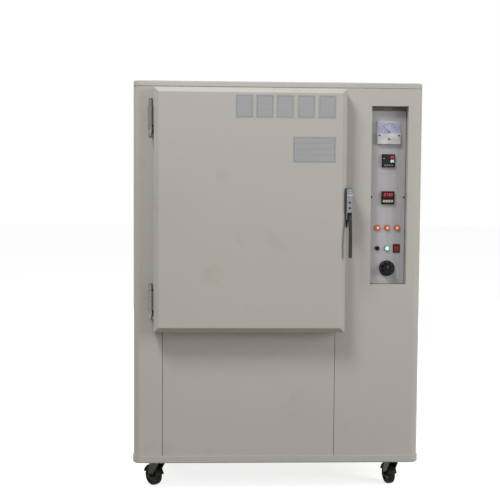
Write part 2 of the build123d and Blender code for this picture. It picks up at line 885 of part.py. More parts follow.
def latch_keeper():
    """Plate on the cabinet with one ear, and a roller on the stub that stands out of it."""
    x0 = latch_x0 + latch_plate + 0.5
    x1 = latch_x1 + 6
    ear_x = cam_x1 + 2.3
    ear = block(ear_x, ear_x + keeper_ear, roller_y, -2, roller_z - 6, roller_z + 6)
    ear = ear + along_x(roller_y, roller_z, ear_x, ear_x + keeper_ear, 12)
    base = block(x0, x1, -hinge_plate, 0, roller_z - 22, roller_z + 24)
    stub = along_x(roller_y, roller_z, cam_x0, ear_x + keeper_ear + 1.5, keeper_stub)
    stub = stub + along_x(roller_y, roller_z, cam_x0, cam_x0 + 0.8, keeper_stub + 2)
    bore = keeper_stub + 2 * running_clearance
    roller = along_x(roller_y, roller_z, cam_x0 + 1.1, ear_x - face_clearance, roller_diameter)
    return [base + ear + stub, roller - along_x(roller_y, roller_z, x0, x1, bore)]


# Control pocket

def control_pocket():
    wall = pocket_sheet
    back = plate_front + plate_thickness
    box = around(
        pocket_mid_x, pocket_mid_z, pocket_width + 2 * wall, pocket_height + 2 * wall,
        sheet, back + wall,
    )
    flange = around(
        pocket_mid_x, pocket_mid_z, pocket_width + 20, pocket_height + 20, sheet, sheet + wall,
    )
    room = around(pocket_mid_x, pocket_mid_z, pocket_width, pocket_height, 0, back)
    cutout = around(
        pocket_mid_x, pocket_mid_z,
        pocket_width - 2 * pocket_ledge, pocket_height - 2 * pocket_ledge, 0, back + 5,
    )
    pocket = box + flange - room - cutout
    for x, z in plate_screw_places():
        pocket = pocket - along_y(x, z, back - 1, back + 5, screw_head / 2)
    return pocket


def lamp_places(rise, count):
    return [(column_x + (index - 1) * lamp_pitch, z_tray + rise) for index in range(count)]


def control_plate():
    y0 = plate_front
    y1 = plate_front + plate_thickness
    plate = around(
        pocket_mid_x, pocket_mid_z,
        pocket_width - 2 * plate_clearance, pocket_height - 2 * plate_clearance, y0, y1,
    )
    cuts = [along_y(column_x, z_tray + meter_rise, y0 - 1, y1 + 1, meter_body + 1)]
    for rise in (controller_rise, timer_rise):
        cuts.append(around(column_x, z_tray + rise, din_cutout, din_cutout, y0 - 1, y1 + 1))
    for x, z in lamp_places(lamp_rise, 3) + lamp_places(lower_lamp_rise, 2):
        cuts.append(along_y(x, z, y0 - 1, y1 + 1, lamp_body + 0.5))
    cuts.append(around(
        rocker_x(), z_tray + rocker_rise, rocker_frame_width - 4, rocker_frame_height - 4, y0 - 1, y1 + 1,
    ))
    cuts.append(along_y(column_x, z_tray + knob_rise, y0 - 1, y1 + 1, 12))
    for x, z in plate_screw_places():
        cuts.append(along_y(x, z, y0 - 1, y1 + 1, screw_head / 2))
    for cut in cuts:
        plate = plate - cut
    return plate


def rocker_x():
    return column_x + lamp_pitch - 1.5


def meter_case():
    """Back plate, lower cover and round body of the panel meter, with its needle post."""
    z = z_tray + meter_rise
    front = plate_front - meter_front
    base = around(column_x, z, meter_width, meter_height, plate_front - meter_base, plate_front)
    low_height = meter_height - meter_window_share
    low_z = z - meter_height / 2 + low_height / 2
    cover = around(column_x, low_z, meter_width, low_height, front, plate_front - meter_base)
    cover = fillet(cover.edges().group_by(Axis.Y)[0], 2)
    body = along_y(column_x, z, plate_front, plate_front + meter_body_length, meter_body)
    post = along_y(
        column_x, z + needle_pivot_rise, front + 2.5, plate_front - meter_base, needle_shaft,
    )
    zero = along_y(column_x, z - 24, front - 1.2, front, 6)
    return base + cover + body + post + zero


def meter_window():
    """Clear cover over the scale, open at the back."""
    z = z_tray + meter_rise + meter_height / 2 - meter_window_share / 2
    front = plate_front - meter_front
    back = plate_front - meter_base
    height = meter_window_share - face_clearance
    cover = around(column_x, z + face_clearance / 2, meter_width, height, front, back)
    cover = fillet(cover.edges().group_by(Axis.Y)[0], 1.2)
    room = around(
        column_x, z + face_clearance / 2, meter_width - 2 * meter_wall, height - 2 * meter_wall,
        front + meter_wall, back + 1,
    )
    return cover - room


def meter_needle():
    """Hub and thin pointer, drawn straight up and turned to its place at rest."""
    y0 = plate_front - meter_base - 4.2
    hub = along_y(0, 0, y0, y0 + 2.4, 7)
    pointer = block(-0.5, 0.5, y0 + 0.4, y0 + 1.2, 0, needle_length)
    tail = block(-1, 1, y0 + 0.4, y0 + 1.2, -5, 0)
    needle = hub + pointer + tail
    needle = needle - along_y(0, 0, y0 - 1, y0 + 4, needle_shaft + 2 * running_clearance)
    return Pos(column_x, 0, z_tray + meter_rise + needle_pivot_rise) * Rot(Y=needle_rest_angle) * needle


def din_case(rise):
    """A 48 mm panel instrument: bezel in front of the plate, body behind it."""
    z = z_tray + rise
    front = plate_front - din_bezel_front
    bezel = around(column_x, z, din_bezel, din_bezel, front, plate_front)
    bezel = fillet(bezel.edges().group_by(Axis.Y)[0], 1.5)
    body = around(
        column_x, z, din_cutout - 0.6, din_cutout - 0.6, plate_front, plate_front + din_body_length,
    )
    return bezel + body


def timer_key_x(index):
    return column_x + (index - (timer_keys - 1) / 2) * timer_key_pitch


def timer_key_z():
    return z_tray + timer_rise - timer_key_drop


def digital_timer():
    """Timer with a pocket for each of its keys."""
    case = din_case(timer_rise)
    front = plate_front - din_bezel_front
    for index in range(timer_keys):
        case = case - around(
            timer_key_x(index), timer_key_z(),
            timer_key_width + 2 * face_clearance, timer_key_height + 2 * face_clearance,
            front - 1, front + 5,
        )
    return case


def timer_key(index):
    front = plate_front - din_bezel_front - timer_key_proud
    key = around(
        timer_key_x(index), timer_key_z(), timer_key_width, timer_key_height,
        front, front + timer_key_proud + 5 - timer_key_travel - face_clearance,
    )
    return fillet(key.edges().group_by(Axis.Y)[0], 0.6)


def lamp_bezel_piece(x, z):
    """Ring in front of the plate and the lamp's body behind it."""
    ring = along_y(x, z, plate_front - lamp_bezel_front, plate_front, lamp_bezel)
    ring = fillet(ring.edges().filter_by(GeomType.CIRCLE).sort_by(Axis.Y)[0], 1.2)
    ring = ring - along_y(x, z, plate_front - lamp_bezel_front - 1, plate_front, lamp_lens + 0.4)
    return ring + along_y(x, z, plate_front, plate_front + lamp_body_length, lamp_body)


def lamp_lens_piece(x, z):
    lens = along_y(x, z, plate_front - lamp_lens_front, plate_front, lamp_lens)
    return fillet(lens.edges().filter_by(GeomType.CIRCLE).sort_by(Axis.Y)[0], 5)


def buzzer():
    x, z = lamp_places(lower_lamp_rise, 1)[0]
    head = along_y(x, z, plate_front - buzzer_front, plate_front, buzzer_diameter)
    head = fillet(head.edges().filter_by(GeomType.CIRCLE).sort_by(Axis.Y)[0], 1)
    head = head - along_y(x, z, plate_front - buzzer_front - 1, plate_front - buzzer_front + 2, 5)
    return head + along_y(x, z, plate_front, plate_front + 20, lamp_body - 1)


def rocker_housing():
    x = rocker_x()
    z = z_tray + rocker_rise
    frame = around(
        x, z, rocker_frame_width, rocker_frame_height, plate_front - rocker_frame_front, plate_front,
    )
    frame = fillet(frame.edges().group_by(Axis.Y)[0], 1)
    body = around(
        x, z, rocker_frame_width - 5, rocker_frame_height - 5, plate_front, plate_front + 22,
    )
    room = around(
        x, z, rocker_width + 1, rocker_height + 2.4, plate_front - 10, plate_front + 12,
    )
    pin = along_x(rocker_pivot_y(), z, x - rocker_width / 2 - 1, x + rocker_width / 2 + 1, 3)
    return frame + body - room + pin


def rocker_pivot_y():
    return plate_front + 3.0


def rocker_switch():
    """A shallow V seen from the side, turned about its pin so that its lower half is in."""
    half = rocker_height / 2
    y_mid = -5.2
    outline = [
        (y_mid, 0), (y_mid - 1.8, half), (2, half - 1.2), (4.5, 0), (2, -half + 1.2), (y_mid - 1.8, -half),
    ]
    wedge = side_profile(outline, -rocker_width / 2, rocker_width / 2)
    wedge = wedge - along_x(0, 0, -rocker_width, rocker_width, 3 + 2 * running_clearance)
    place = Pos(rocker_x(), rocker_pivot_y(), z_tray + rocker_rise)
    return place * Rot(X=rocker_rest_tilt) * wedge


def thermostat_body():
    z = z_tray + knob_rise
    case = around(
        column_x, z, thermostat_case, thermostat_case,
        plate_front + plate_thickness, plate_front + plate_thickness + 36,
    )
    neck = along_y(column_x, z, plate_front - 1, plate_front + plate_thickness + 1, 11)
    shaft = along_y(column_x, z, plate_front - 18, plate_front, knob_bore)
    return case + neck + shaft


def thermostat_knob():
    """Skirt with a ribbed grip, a blind bore for the shaft and a pointer ridge."""
    z = z_tray + knob_rise
    back = plate_front - knob_plate_gap
    skirt = along_y(column_x, z, back - knob_skirt, back, knob_diameter)
    skirt = fillet(skirt.edges().filter_by(GeomType.CIRCLE).sort_by(Axis.Y)[0], 2)
    front = plate_front - knob_front
    grip = along_y(column_x, z, front, back - knob_skirt, knob_grip)
    grip = fillet(grip.edges().filter_by(GeomType.CIRCLE).sort_by(Axis.Y)[0], 2)
    flute = Pos(knob_grip / 2 + 1.6, 0, 0) * Rot(X=90) * Cylinder(3, knob_front)
    for index in range(12):
        turned = Rot(Y=30 * index + 15) * flute
        grip = grip - Pos(column_x, front + knob_front / 2 - 1, z) * turned
    pointer = block(
        column_x - 1, column_x + 1, front - 0.8, front + 2, z + 3, z + knob_grip / 2 - 2,
    )
    knob = skirt + grip + pointer
    bore = knob_bore + 2 * running_clearance
    return knob - along_y(column_x, z, plate_front - 18.5, plate_front, bore)


# Electrical parts on the side of the insulated chamber

plate_x = door_mid_x + chamber_width / 2 + liner_sheet + insulation_wall


def electrical_plate():
    """Mounting plate on four spacers, with a rail and a row of terminals as its own solid."""
    y0, y1 = 120.0, 460.0
    z0 = chamber_low + 60
    z1 = chamber_top - 80
    plate = block(plate_x + 6, plate_x + 8, y0, y1, z0, z1)
    for y in (y0 + 20, y1 - 20):
        for z in (z0 + 20, z1 - 20):
            plate = plate + along_x(y, z, plate_x, plate_x + 6, 10)
    rail = block(plate_x + 8, plate_x + 15, y0 + 20, y1 - 20, z0 + 60, z0 + 95)
    terminals = block(plate_x + 15, plate_x + 58, y0 + 40, y1 - 60, z0 + 56, z0 + 99)
    for slot in range(16):
        y = y0 + 50 + slot * 14.5
        terminals = terminals - block(plate_x + 50, plate_x + 60, y, y + 4, z0 + 50, z0 + 105)
    return [plate + rail, terminals]


def contactor():
    z0 = chamber_low + 260
    base = block(plate_x + 8, plate_x + 60, 200, 258, z0, z0 + 80)
    front = block(plate_x + 60, plate_x + 92, 208, 250, z0 + 14, z0 + 66)
    return fillet((base + front).edges().group_by(Axis.X)[-1], 2)


def cable_gland():
    """Strain relief through the rear panel, with a clear bore for the supply cord."""
    x, z = gland_place()
    inside = along_y(x, z, cabinet_depth - sheet - gland_inside, cabinet_depth, gland_thread - 0.4)
    nut = hex_along_y(x, z, cabinet_depth - sheet - 6, cabinet_depth - sheet, gland_hex)
    collar = hex_along_y(x, z, cabinet_depth, cabinet_depth + 9, gland_hex)
    dome = along_y(x, z, cabinet_depth + 9, cabinet_depth + gland_reach, gland_thread + 2)
    dome = fillet(dome.edges().filter_by(GeomType.CIRCLE).sort_by(Axis.Y)[-1], 4)
    gland = inside + nut + collar + dome
    return gland - along_y(x, z, cabinet_depth - 30, cabinet_depth + gland_reach + 5, gland_bore)


# Casters

def caster_places():
    """Swivel axis of each caster on the floor plan, by name."""
    x = cabinet_width / 2 - caster_side_inset
    near = caster_end_inset
    far = cabinet_depth - caster_end_inset
    return {
        "front_left": (-x, near), "front_right": (x, near),
        "rear_left": (-x, far), "rear_right": (x, far),
    }


def caster_plate(x, y):
    """Top plate, ball race and kingpin, with four bolt heads as separate solids."""
    top = z_tray
    low = top - caster_plate_thickness
    plate = Pos(x, y, low) * extrude(
        RectangleRounded(caster_plate_length, caster_plate_width, 8), amount=caster_plate_thickness,
    )
    race = upright(x, y, low - race_height, low, race_diameter)
    race = fillet(race.edges().filter_by(GeomType.CIRCLE).sort_by(Axis.Z)[0], 2)
    crown_low = low - race_height - face_clearance - crown_thickness
    kingpin = upright(x, y, crown_low - 5, low, kingpin_diameter)
    head = upright(x, y, crown_low - 5, crown_low - face_clearance, kingpin_diameter + 8)
    solids = [plate + race + kingpin + head]
    for dx in (-1, 1):
        for dy in (-1, 1):
            bolt = extrude(RegularPolygon(6.5, 6), amount=4)
            solids.append(Pos(x + dx * 38, y + dy * 26, low - 4) * bolt)
    return solids


def crown_heights():
    top = z_tray - caster_plate_thickness - race_height - face_clearance
    return top - crown_thickness, top


def caster_fork(place, angle):
    """Crown and two legs, with the axle bolt and its nuts as a second solid."""
    low, top = crown_heights()
    axle_z = wheel_diameter / 2
    inner = wheel_width / 2 + 1.0
    outer = inner + fork_leg_thickness
    crown = upright(0, 0, low, top, race_diameter)
    crown = crown + block(-outer, outer, -race_diameter / 2 + 3, race_diameter / 2 - 3, low, top)
    crown = crown - upright(0, 0, low - 1, top + 1, kingpin_diameter + 2 * running_clearance)
    fork = crown
    half = race_diameter / 2 - 3
    for side in (-1, 1):
        x0, x1 = sorted((side * inner, side * outer))
        outline = [
            (-half, top), (half, top), (half, low - 8), (caster_trail + 12, axle_z + 4),
            (caster_trail + 7, axle_z - 10), (caster_trail - 7, axle_z - 10),
            (caster_trail - 12, axle_z + 4), (-half, low - 8),
        ]
        leg = side_profile(outline, x0, x1)
        fork = fork + leg
    hole = axle_diameter + 2 * running_clearance
    fork = fork - along_x(caster_trail, axle_z, -outer - 1, outer + 1, hole)
    reach = outer + axle_nut_thickness + 2
    axle = along_x(caster_trail, axle_z, -reach, reach, axle_diameter)
    for side in (-1, 1):
        nut = extrude(RegularPolygon(axle_nut_size / math.sqrt(3), 6), amount=axle_nut_thickness)
        start = outer if side > 0 else -outer - axle_nut_thickness
        axle = axle + Pos(start, caster_trail, axle_z) * Rot(Y=90) * nut
    turn = Pos(place[0], place[1], 0) * Rot(Z=angle)
    return [turn * fork, turn * axle]


def caster_wheel(place, angle):
    """Tyre with a rounded tread, dished sides and a bored hub."""
    radius = wheel_diameter / 2
    half = wheel_width / 2
    bore = axle_diameter / 2 + 1.5 * running_clearance
    profile = [
        (bore, -half), (bore, half), (11, half), (13, half - 4), (radius - 9, half - 4),
        (radius - 7, half), (radius - 3, half), (radius, half - 4), (radius, 4 - half),
        (radius - 3, -half), (radius - 7, -half), (radius - 9, 4 - half), (13, 4 - half), (11, -half),
    ]
    face = make_face(Polyline(*[(r, 0, x) for r, x in profile], close=True))
    wheel = revolve(face, Axis.Z, 360)
    wheel = Pos(0, caster_trail, radius) * Rot(Y=90) * wheel
    return Pos(place[0], place[1], 0) * Rot(Z=angle) * wheel


os.makedirs("parts", exist_ok=True)

export("base_tray", base_tray())
export("support_frame", support_frame())
export("left_side_panel", left_side_panel())
export("right_side_panel", right_side_panel())
export("front_centre_panel", front_centre_panel())
export("rear_panel", rear_panel())
export("top_cap", top_cap())
export("panel_screws", *panel_screws())

export("chamber_liner", chamber_liner())
export("chamber_insulation", chamber_insulation())
export("air_baffle", air_baffle())
export("shelf_runners", *shelf_runners())
for shelf_name, shelf_rise in shelf_rises.items():
    export(shelf_name, shelf(shelf_rise))
export("fan_motor", fan_motor())
export("fan_impeller", fan_impeller())
export("heater_ring", heater_ring())
export("temperature_probe", temperature_probe())

export("door_shell", door_shell())
export("door_inner_panel", door_inner_panel())
export("door_insulation", door_insulation())
export("door_gasket", door_gasket())
export("door_label_plates", *door_label_plates())
export("hinge_cabinet_leaves", *[piece for rise in hinge_rises for piece in hinge_cabinet_leaf(rise)])
export("hinge_door_leaves", *[hinge_door_leaf(rise) for rise in hinge_rises])
export("latch_body", latch_body())
export("latch_lever", latch_lever())
export("latch_cam", latch_cam())
export("latch_keeper", *latch_keeper())

export("control_pocket", control_pocket())
export("control_plate", control_plate())
export("meter_case", meter_case())
export("meter_window", meter_window())
export("meter_needle", meter_needle())
export("temperature_controller", din_case(controller_rise))
export("digital_timer", digital_timer())
for key_index in range(timer_keys):
    export(f"timer_key_{key_index + 1}", timer_key(key_index))
upper_lamps = lamp_places(lamp_rise, 3)
green_lamp = lamp_places(lower_lamp_rise, 2)[1]
export("lamp_bezels", *[lamp_bezel_piece(x, z) for x, z in upper_lamps + [green_lamp]])
export("orange_lamp_lenses", *[lamp_lens_piece(x, z) for x, z in upper_lamps])
export("green_lamp_lens", lamp_lens_piece(*green_lamp))
export("buzzer", buzzer())
export("rocker_housing", rocker_housing())
export("rocker_switch", rocker_switch())
export("thermostat_body", thermostat_body())
export("thermostat_knob", thermostat_knob())

export("electrical_plate", *electrical_plate())
export("contactor", contactor())
export("cable_gland", cable_gland())

places = caster_places()
export("caster_plates", *[piece for x, y in places.values() for piece in caster_plate(x, y)])
for corner, place in places.items():
    export(f"caster_fork_{corner}", *caster_fork(place, caster_angles[corner]))
    export(f"caster_wheel_{corner}", caster_wheel(place, caster_angles[corner]))
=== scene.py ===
import json
import math

import bmesh
import bpy
from mathutils import Matrix, Vector

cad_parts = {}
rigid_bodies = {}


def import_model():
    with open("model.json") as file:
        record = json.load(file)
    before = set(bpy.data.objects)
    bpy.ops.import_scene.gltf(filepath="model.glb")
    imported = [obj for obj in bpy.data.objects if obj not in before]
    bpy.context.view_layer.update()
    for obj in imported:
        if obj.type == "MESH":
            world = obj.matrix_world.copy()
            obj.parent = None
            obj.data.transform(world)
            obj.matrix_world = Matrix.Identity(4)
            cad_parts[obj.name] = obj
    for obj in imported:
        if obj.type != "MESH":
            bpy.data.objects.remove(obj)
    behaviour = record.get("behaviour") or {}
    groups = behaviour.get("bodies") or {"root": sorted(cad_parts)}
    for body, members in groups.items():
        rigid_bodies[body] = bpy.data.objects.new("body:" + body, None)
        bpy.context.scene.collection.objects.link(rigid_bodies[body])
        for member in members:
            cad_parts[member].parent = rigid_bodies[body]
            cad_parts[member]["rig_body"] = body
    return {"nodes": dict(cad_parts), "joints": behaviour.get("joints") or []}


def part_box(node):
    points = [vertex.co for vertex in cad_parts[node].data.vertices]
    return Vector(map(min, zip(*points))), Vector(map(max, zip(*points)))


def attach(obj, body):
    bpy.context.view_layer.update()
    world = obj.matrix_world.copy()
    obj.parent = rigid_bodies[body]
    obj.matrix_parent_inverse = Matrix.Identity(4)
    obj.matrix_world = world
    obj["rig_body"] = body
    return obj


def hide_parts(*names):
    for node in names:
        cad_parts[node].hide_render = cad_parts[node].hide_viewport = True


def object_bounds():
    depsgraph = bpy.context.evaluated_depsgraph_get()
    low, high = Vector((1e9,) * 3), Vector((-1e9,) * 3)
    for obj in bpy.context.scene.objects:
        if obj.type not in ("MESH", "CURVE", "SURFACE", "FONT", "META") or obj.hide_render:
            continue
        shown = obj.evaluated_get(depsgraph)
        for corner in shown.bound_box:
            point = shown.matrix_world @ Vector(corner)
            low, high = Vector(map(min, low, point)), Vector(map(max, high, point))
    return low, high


MM = 0.001
MERGE_DISTANCE = 1e-6
FLAT_ANGLE = math.radians(0.4)
SHARP_ANGLE = math.radians(30)
LEFT = Vector((-1, 0, 0))
RIGHT = Vector((1, 0, 0))
FRONT = Vector((0, -1, 0))
REAR = Vector((0, 1, 0))
UP = Vector((0, 0, 1))

# The camera, solved from the corners of the cabinet, the door and the control recess
PHOTO_SIDE = 500.0
FOCAL_PIXELS = 950.0
SENSOR_WIDTH = 36.0
CAMERA_RIGHT = -0.2434
CAMERA_AHEAD = 3.4765
CAMERA_RISE = 0.9994
CAMERA_YAW = math.radians(-2.319)
CAMERA_PITCH = math.radians(-3.389)
CAMERA_ROLL = math.radians(0.393)

# Lamps: offset from the point that they aim at, size in metres, watts and colour
LAMP_AIM_X = -0.10
LAMP_AIM_Z = 1.05
LAMPS = (
    ("key", Vector((-0.53, -0.75, 1.20)).normalized() * 4.2, 1.3, 130.0, (1.0, 0.99, 0.975)),
    ("right", Vector((4.2, -2.2, 0.9)), 2.4, 114.0, (1.0, 0.985, 0.96)),
    ("rear", Vector((-1.8, 4.9, 1.6)), 3.0, 120.0, (1.0, 0.99, 0.98)),
)

# World and floor: what falls on the object, and how pale the floor is seen
WORLD_COLOR = (0.98, 0.99, 1.0, 1.0)
WORLD_FILL = 0.30
FLOOR_SEEN = 0.60
FLOOR_OTHER = (0.26, 0.20, 0.165)
FLOOR_LIFT = 0.80
FLOOR_REACH = 30.0
FLOOR_DEPTH = 0.02

# Print on the labels and scales
LABEL_MARGIN = 4.0 * MM
LABEL_LINE = 2.0 * MM
PRINT_RISE = 0.06 * MM
WIDE_LABEL = 100.0 * MM
LABEL_RULES = (0.28, 0.52, 0.76)
TYPE_RISE = 0.03 * MM

# Screw heads, as radius and height
DOOR_SCREW = (3.4 * MM, 2.0 * MM)
HINGE_SCREW = (3.2 * MM, 1.6 * MM)
LATCH_SIDE_SCREW = (3.6 * MM, 1.8 * MM)
LATCH_FRONT_SCREW = (4.2 * MM, 1.4 * MM)
METER_SCREW = (3.4 * MM, 1.4 * MM)
DOOR_SCREW_INSET = 14.0 * MM
HINGE_LEAF = 3.0 * MM

# Latch front, in millimetres, with heights down from its top
LATCH_SCREW_DROPS = (52.0, 72.0)
HIGHLIGHT_RIDGE_HEAD = 24.0
HIGHLIGHT_RIDGE_FOOT = 27.5
HIGHLIGHT_RIDGE_INSET = 1.2
HIGHLIGHT_RIDGE_RISE = 1.1

# Louvres of the rear panel
SIDE_OVERHANG = 3.0 * MM
LOUVRES = 9
LOUVRE_LENGTH = 130.0 * MM
LOUVRE_DEPTH = 5.0 * MM
LOUVRE_PITCH = 18.0 * MM
LOUVRE_RISE = 7.0 * MM
LOUVRE_MARGIN = 120.0 * MM

# Control plate: printed lines as height over the tray's foot and width in millimetres, and dark foam
# strips, a painted shade round the plate's edges
PLATE_LINES = ((1290.0, 112.0), (1172.0, 26.0), (1078.0, 90.0), (678.0, 96.0))
PLATE_LINE_HALF = 0.35
PLATE_LINE_RISE = 0.05
SHADE_FOAM_TOP = 15.0 * MM
SHADE_FOAM_SIDE = 3.0 * MM
SHADE_FOAM_FOOT = 2.5 * MM
SHADE_FOAM_RISE = 0.8 * MM

# Windows and the meter's scale, in millimetres, and the numerals of the displays
WINDOW_RISE = 0.25
SCALE_RISE = 0.35
DIGIT_RISE = 0.12 * MM
DIGIT_SLANT = math.tan(math.radians(6))

# Round scales: sweep in degrees, and ticks as half width and length
METER_SWEEP = 90
METER_RADIUS = 29.0 * MM
METER_ARC = 1.5 * MM
METER_ARC_RISE = 0.05 * MM
METER_NUMBER_INSET = 6.0 * MM
METER_NUMBER_SIZE = 7.0 * MM
METER_SCREW_SIDE = 36.0 * MM
METER_SCREW_DROP = 6.5 * MM
METER_ZERO_DROP = 24.0 * MM
METER_TICK = (0.40 * MM, 2.6 * MM)
METER_LONG_TICK = (0.80 * MM, 4.4 * MM)
PIVOT_INSET = 3.5 * MM
KNOB_SWEEP = 270
KNOB_SKIRT = 5.0 * MM
KNOB_RADIUS = 25.6 * MM
KNOB_NUMBERS = 21.2 * MM
KNOB_NUMBER_SIZE = 2.9 * MM
KNOB_TICK = (0.38 * MM, 2.2 * MM)
KNOB_LONG_TICK = (0.38 * MM, 3.4 * MM)

# Caster wheels and hoods
WHEEL_HALF_WIDTH = 14.0 * MM
HOOD_CLEARANCE = 2.4 * MM
HOOD_SKIN = 1.8 * MM
HOOD_START = 12.0
HOOD_HALF_WIDTH = 16.6 * MM

CASTERS = ("front_left", "front_right", "rear_left", "rear_right")

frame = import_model()
cad_low, cad_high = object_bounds()
cabinet_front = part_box("front_centre_panel")[0].y
tray_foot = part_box("base_tray")[0].z


# Forms: each function returns a bmesh

def box_form(low, high):
    form = bmesh.new()
    bmesh.ops.create_cube(form, size=1.0)
    low, high = Vector(low), Vector(high)
    for vertex in form.verts:
        share = vertex.co + Vector((0.5, 0.5, 0.5))
        vertex.co = Vector([low[i] + (high[i] - low[i]) * share[i] for i in range(3)])
    return form


def lathe_form(profile, place, axis, steps=64, closed=False):
    """A turned form from (radius, distance along the axis) points."""
    form = bmesh.new()
    turn = UP.rotation_difference(Vector(axis)).to_matrix()
    rings = []
    for radius, along in profile:
        count = 1 if radius < MERGE_DISTANCE else steps
        ring = []
        for step in range(count):
            angle = 2 * math.pi * step / count
            point = Vector((radius * math.cos(angle), radius * math.sin(angle), along))
            ring.append(form.verts.new(turn @ point + Vector(place)))
        rings.append(ring)
    pairs = list(zip(rings, rings[1:]))
    if closed:
        pairs.append((rings[-1], rings[0]))
    for lower, upper in pairs:
        for step in range(steps):
            other = (step + 1) % steps
            corners = [lower[step % len(lower)], lower[other % len(lower)],
                       upper[other % len(upper)], upper[step % len(upper)]]
            corners = list(dict.fromkeys(corners))
            if len(corners) > 2:
                form.faces.new(corners)
    return form


def prism_form(outline, depth, matrix):
    """An outline of (x, y) points, extruded along z and placed by a matrix."""
    form = bmesh.new()
    near = [form.verts.new(matrix @ Vector((x, y, 0))) for x, y in outline]
    far = [form.verts.new(matrix @ Vector((x, y, depth))) for x, y in outline]
    form.faces.new(near[::-1])
    form.faces.new(far)
    for index in range(len(outline)):
        after = (index + 1) % len(outline)
        form.faces.new([near[index], near[after], far[after], far[index]])
    return form


def cad_form(node):
    """A CAD node's surface with its flat faces made whole again."""
    form = bmesh.new()
    form.from_mesh(frame["nodes"][node].data)
    bmesh.ops.remove_doubles(form, verts=form.verts, dist=MERGE_DISTANCE)
    bmesh.ops.dissolve_limit(form, angle_limit=FLAT_ANGLE, verts=form.verts, edges=form.edges)
    return form


def joined(forms):
    """One form out of several."""
    total = bmesh.new()
    for form in forms:
        part = bpy.data.meshes.new("part")
        form.to_mesh(part)
        form.free()
        total.from_mesh(part)
        bpy.data.meshes.remove(part)
    return total


def facing(place, outwards):
    """A matrix whose z points outwards and whose y points up, at a place."""
    z = Vector(outwards).normalized()
    x = UP.cross(z).normalized()
    y = z.cross(x)
    return Matrix.Translation(Vector(place)) @ Matrix((x, y, z)).transposed().to_4x4()


def finished(name, form, bevel=0.0, segments=2):
    """Bevels a form's sharp edges by millimetres, shades the rest smooth and makes a mesh of it."""
    bmesh.ops.recalc_face_normals(form, faces=form.faces)
    if bevel:
        edges = [e for e in form.edges if len(e.link_faces) == 2 and e.calc_face_angle(0) > SHARP_ANGLE]
        bmesh.ops.bevel(form, geom=edges, offset=bevel * MM, offset_type="OFFSET", segments=segments,
                        profile=0.5, affect="EDGES", clamp_overlap=False)
    for face in form.faces:
        face.smooth = True
    for edge in form.edges:
        edge.smooth = len(edge.link_faces) == 2 and edge.calc_face_angle(0) < SHARP_ANGLE
    mesh = bpy.data.meshes.new(name)
    form.to_mesh(mesh)
    form.free()
    return mesh


def added(name, data):
    """A new object in the scene."""
    made = bpy.data.objects.new(name, data)
    bpy.context.scene.collection.objects.link(made)
    return made


def baked(source):
    """The mesh of an object with its type or cuts worked out, in place of the object."""
    bpy.context.view_layer.update()
    evaluated = source.evaluated_get(bpy.context.evaluated_depsgraph_get())
    mesh = bpy.data.meshes.new_from_object(evaluated)
    bpy.data.objects.remove(source)
    mesh.materials.clear()
    return mesh


def piece(name, mesh, body, material, replaced=(), weighted=False, place=Matrix()):
    """An object that rides on a body and takes the material it is given."""
    made = added(name, mesh)
    made.matrix_world = place
    if not mesh.materials:
        mesh.materials.append(material)
    if weighted:
        normals = made.modifiers.new("normals", "WEIGHTED_NORMAL")
        normals.keep_sharp = True
    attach(made, body)
    if replaced:
        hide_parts(*replaced)
    return made


def body_of(node):
    return frame["nodes"][node]["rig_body"]


def formed(name, form, body, material, bevel=0.0, segments=2, replaced=()):
    """A piece made straight from a form."""
    return piece(name, finished(name, form, bevel, segments), body, material, replaced)


def refined(node, material, bevel, segments):
    """A CAD node with small bevels on its edges, in place of the node."""
    mesh = finished(node + "_skin", cad_form(node), bevel, segments)
    return piece(node + "_skin", mesh, body_of(node), material, [node], weighted=True)


def painted(node, material):
    """A CAD node that keeps its own mesh and gets a material."""
    mesh = frame["nodes"][node].data
    mesh.materials.clear()
    mesh.materials.append(material)


# Materials

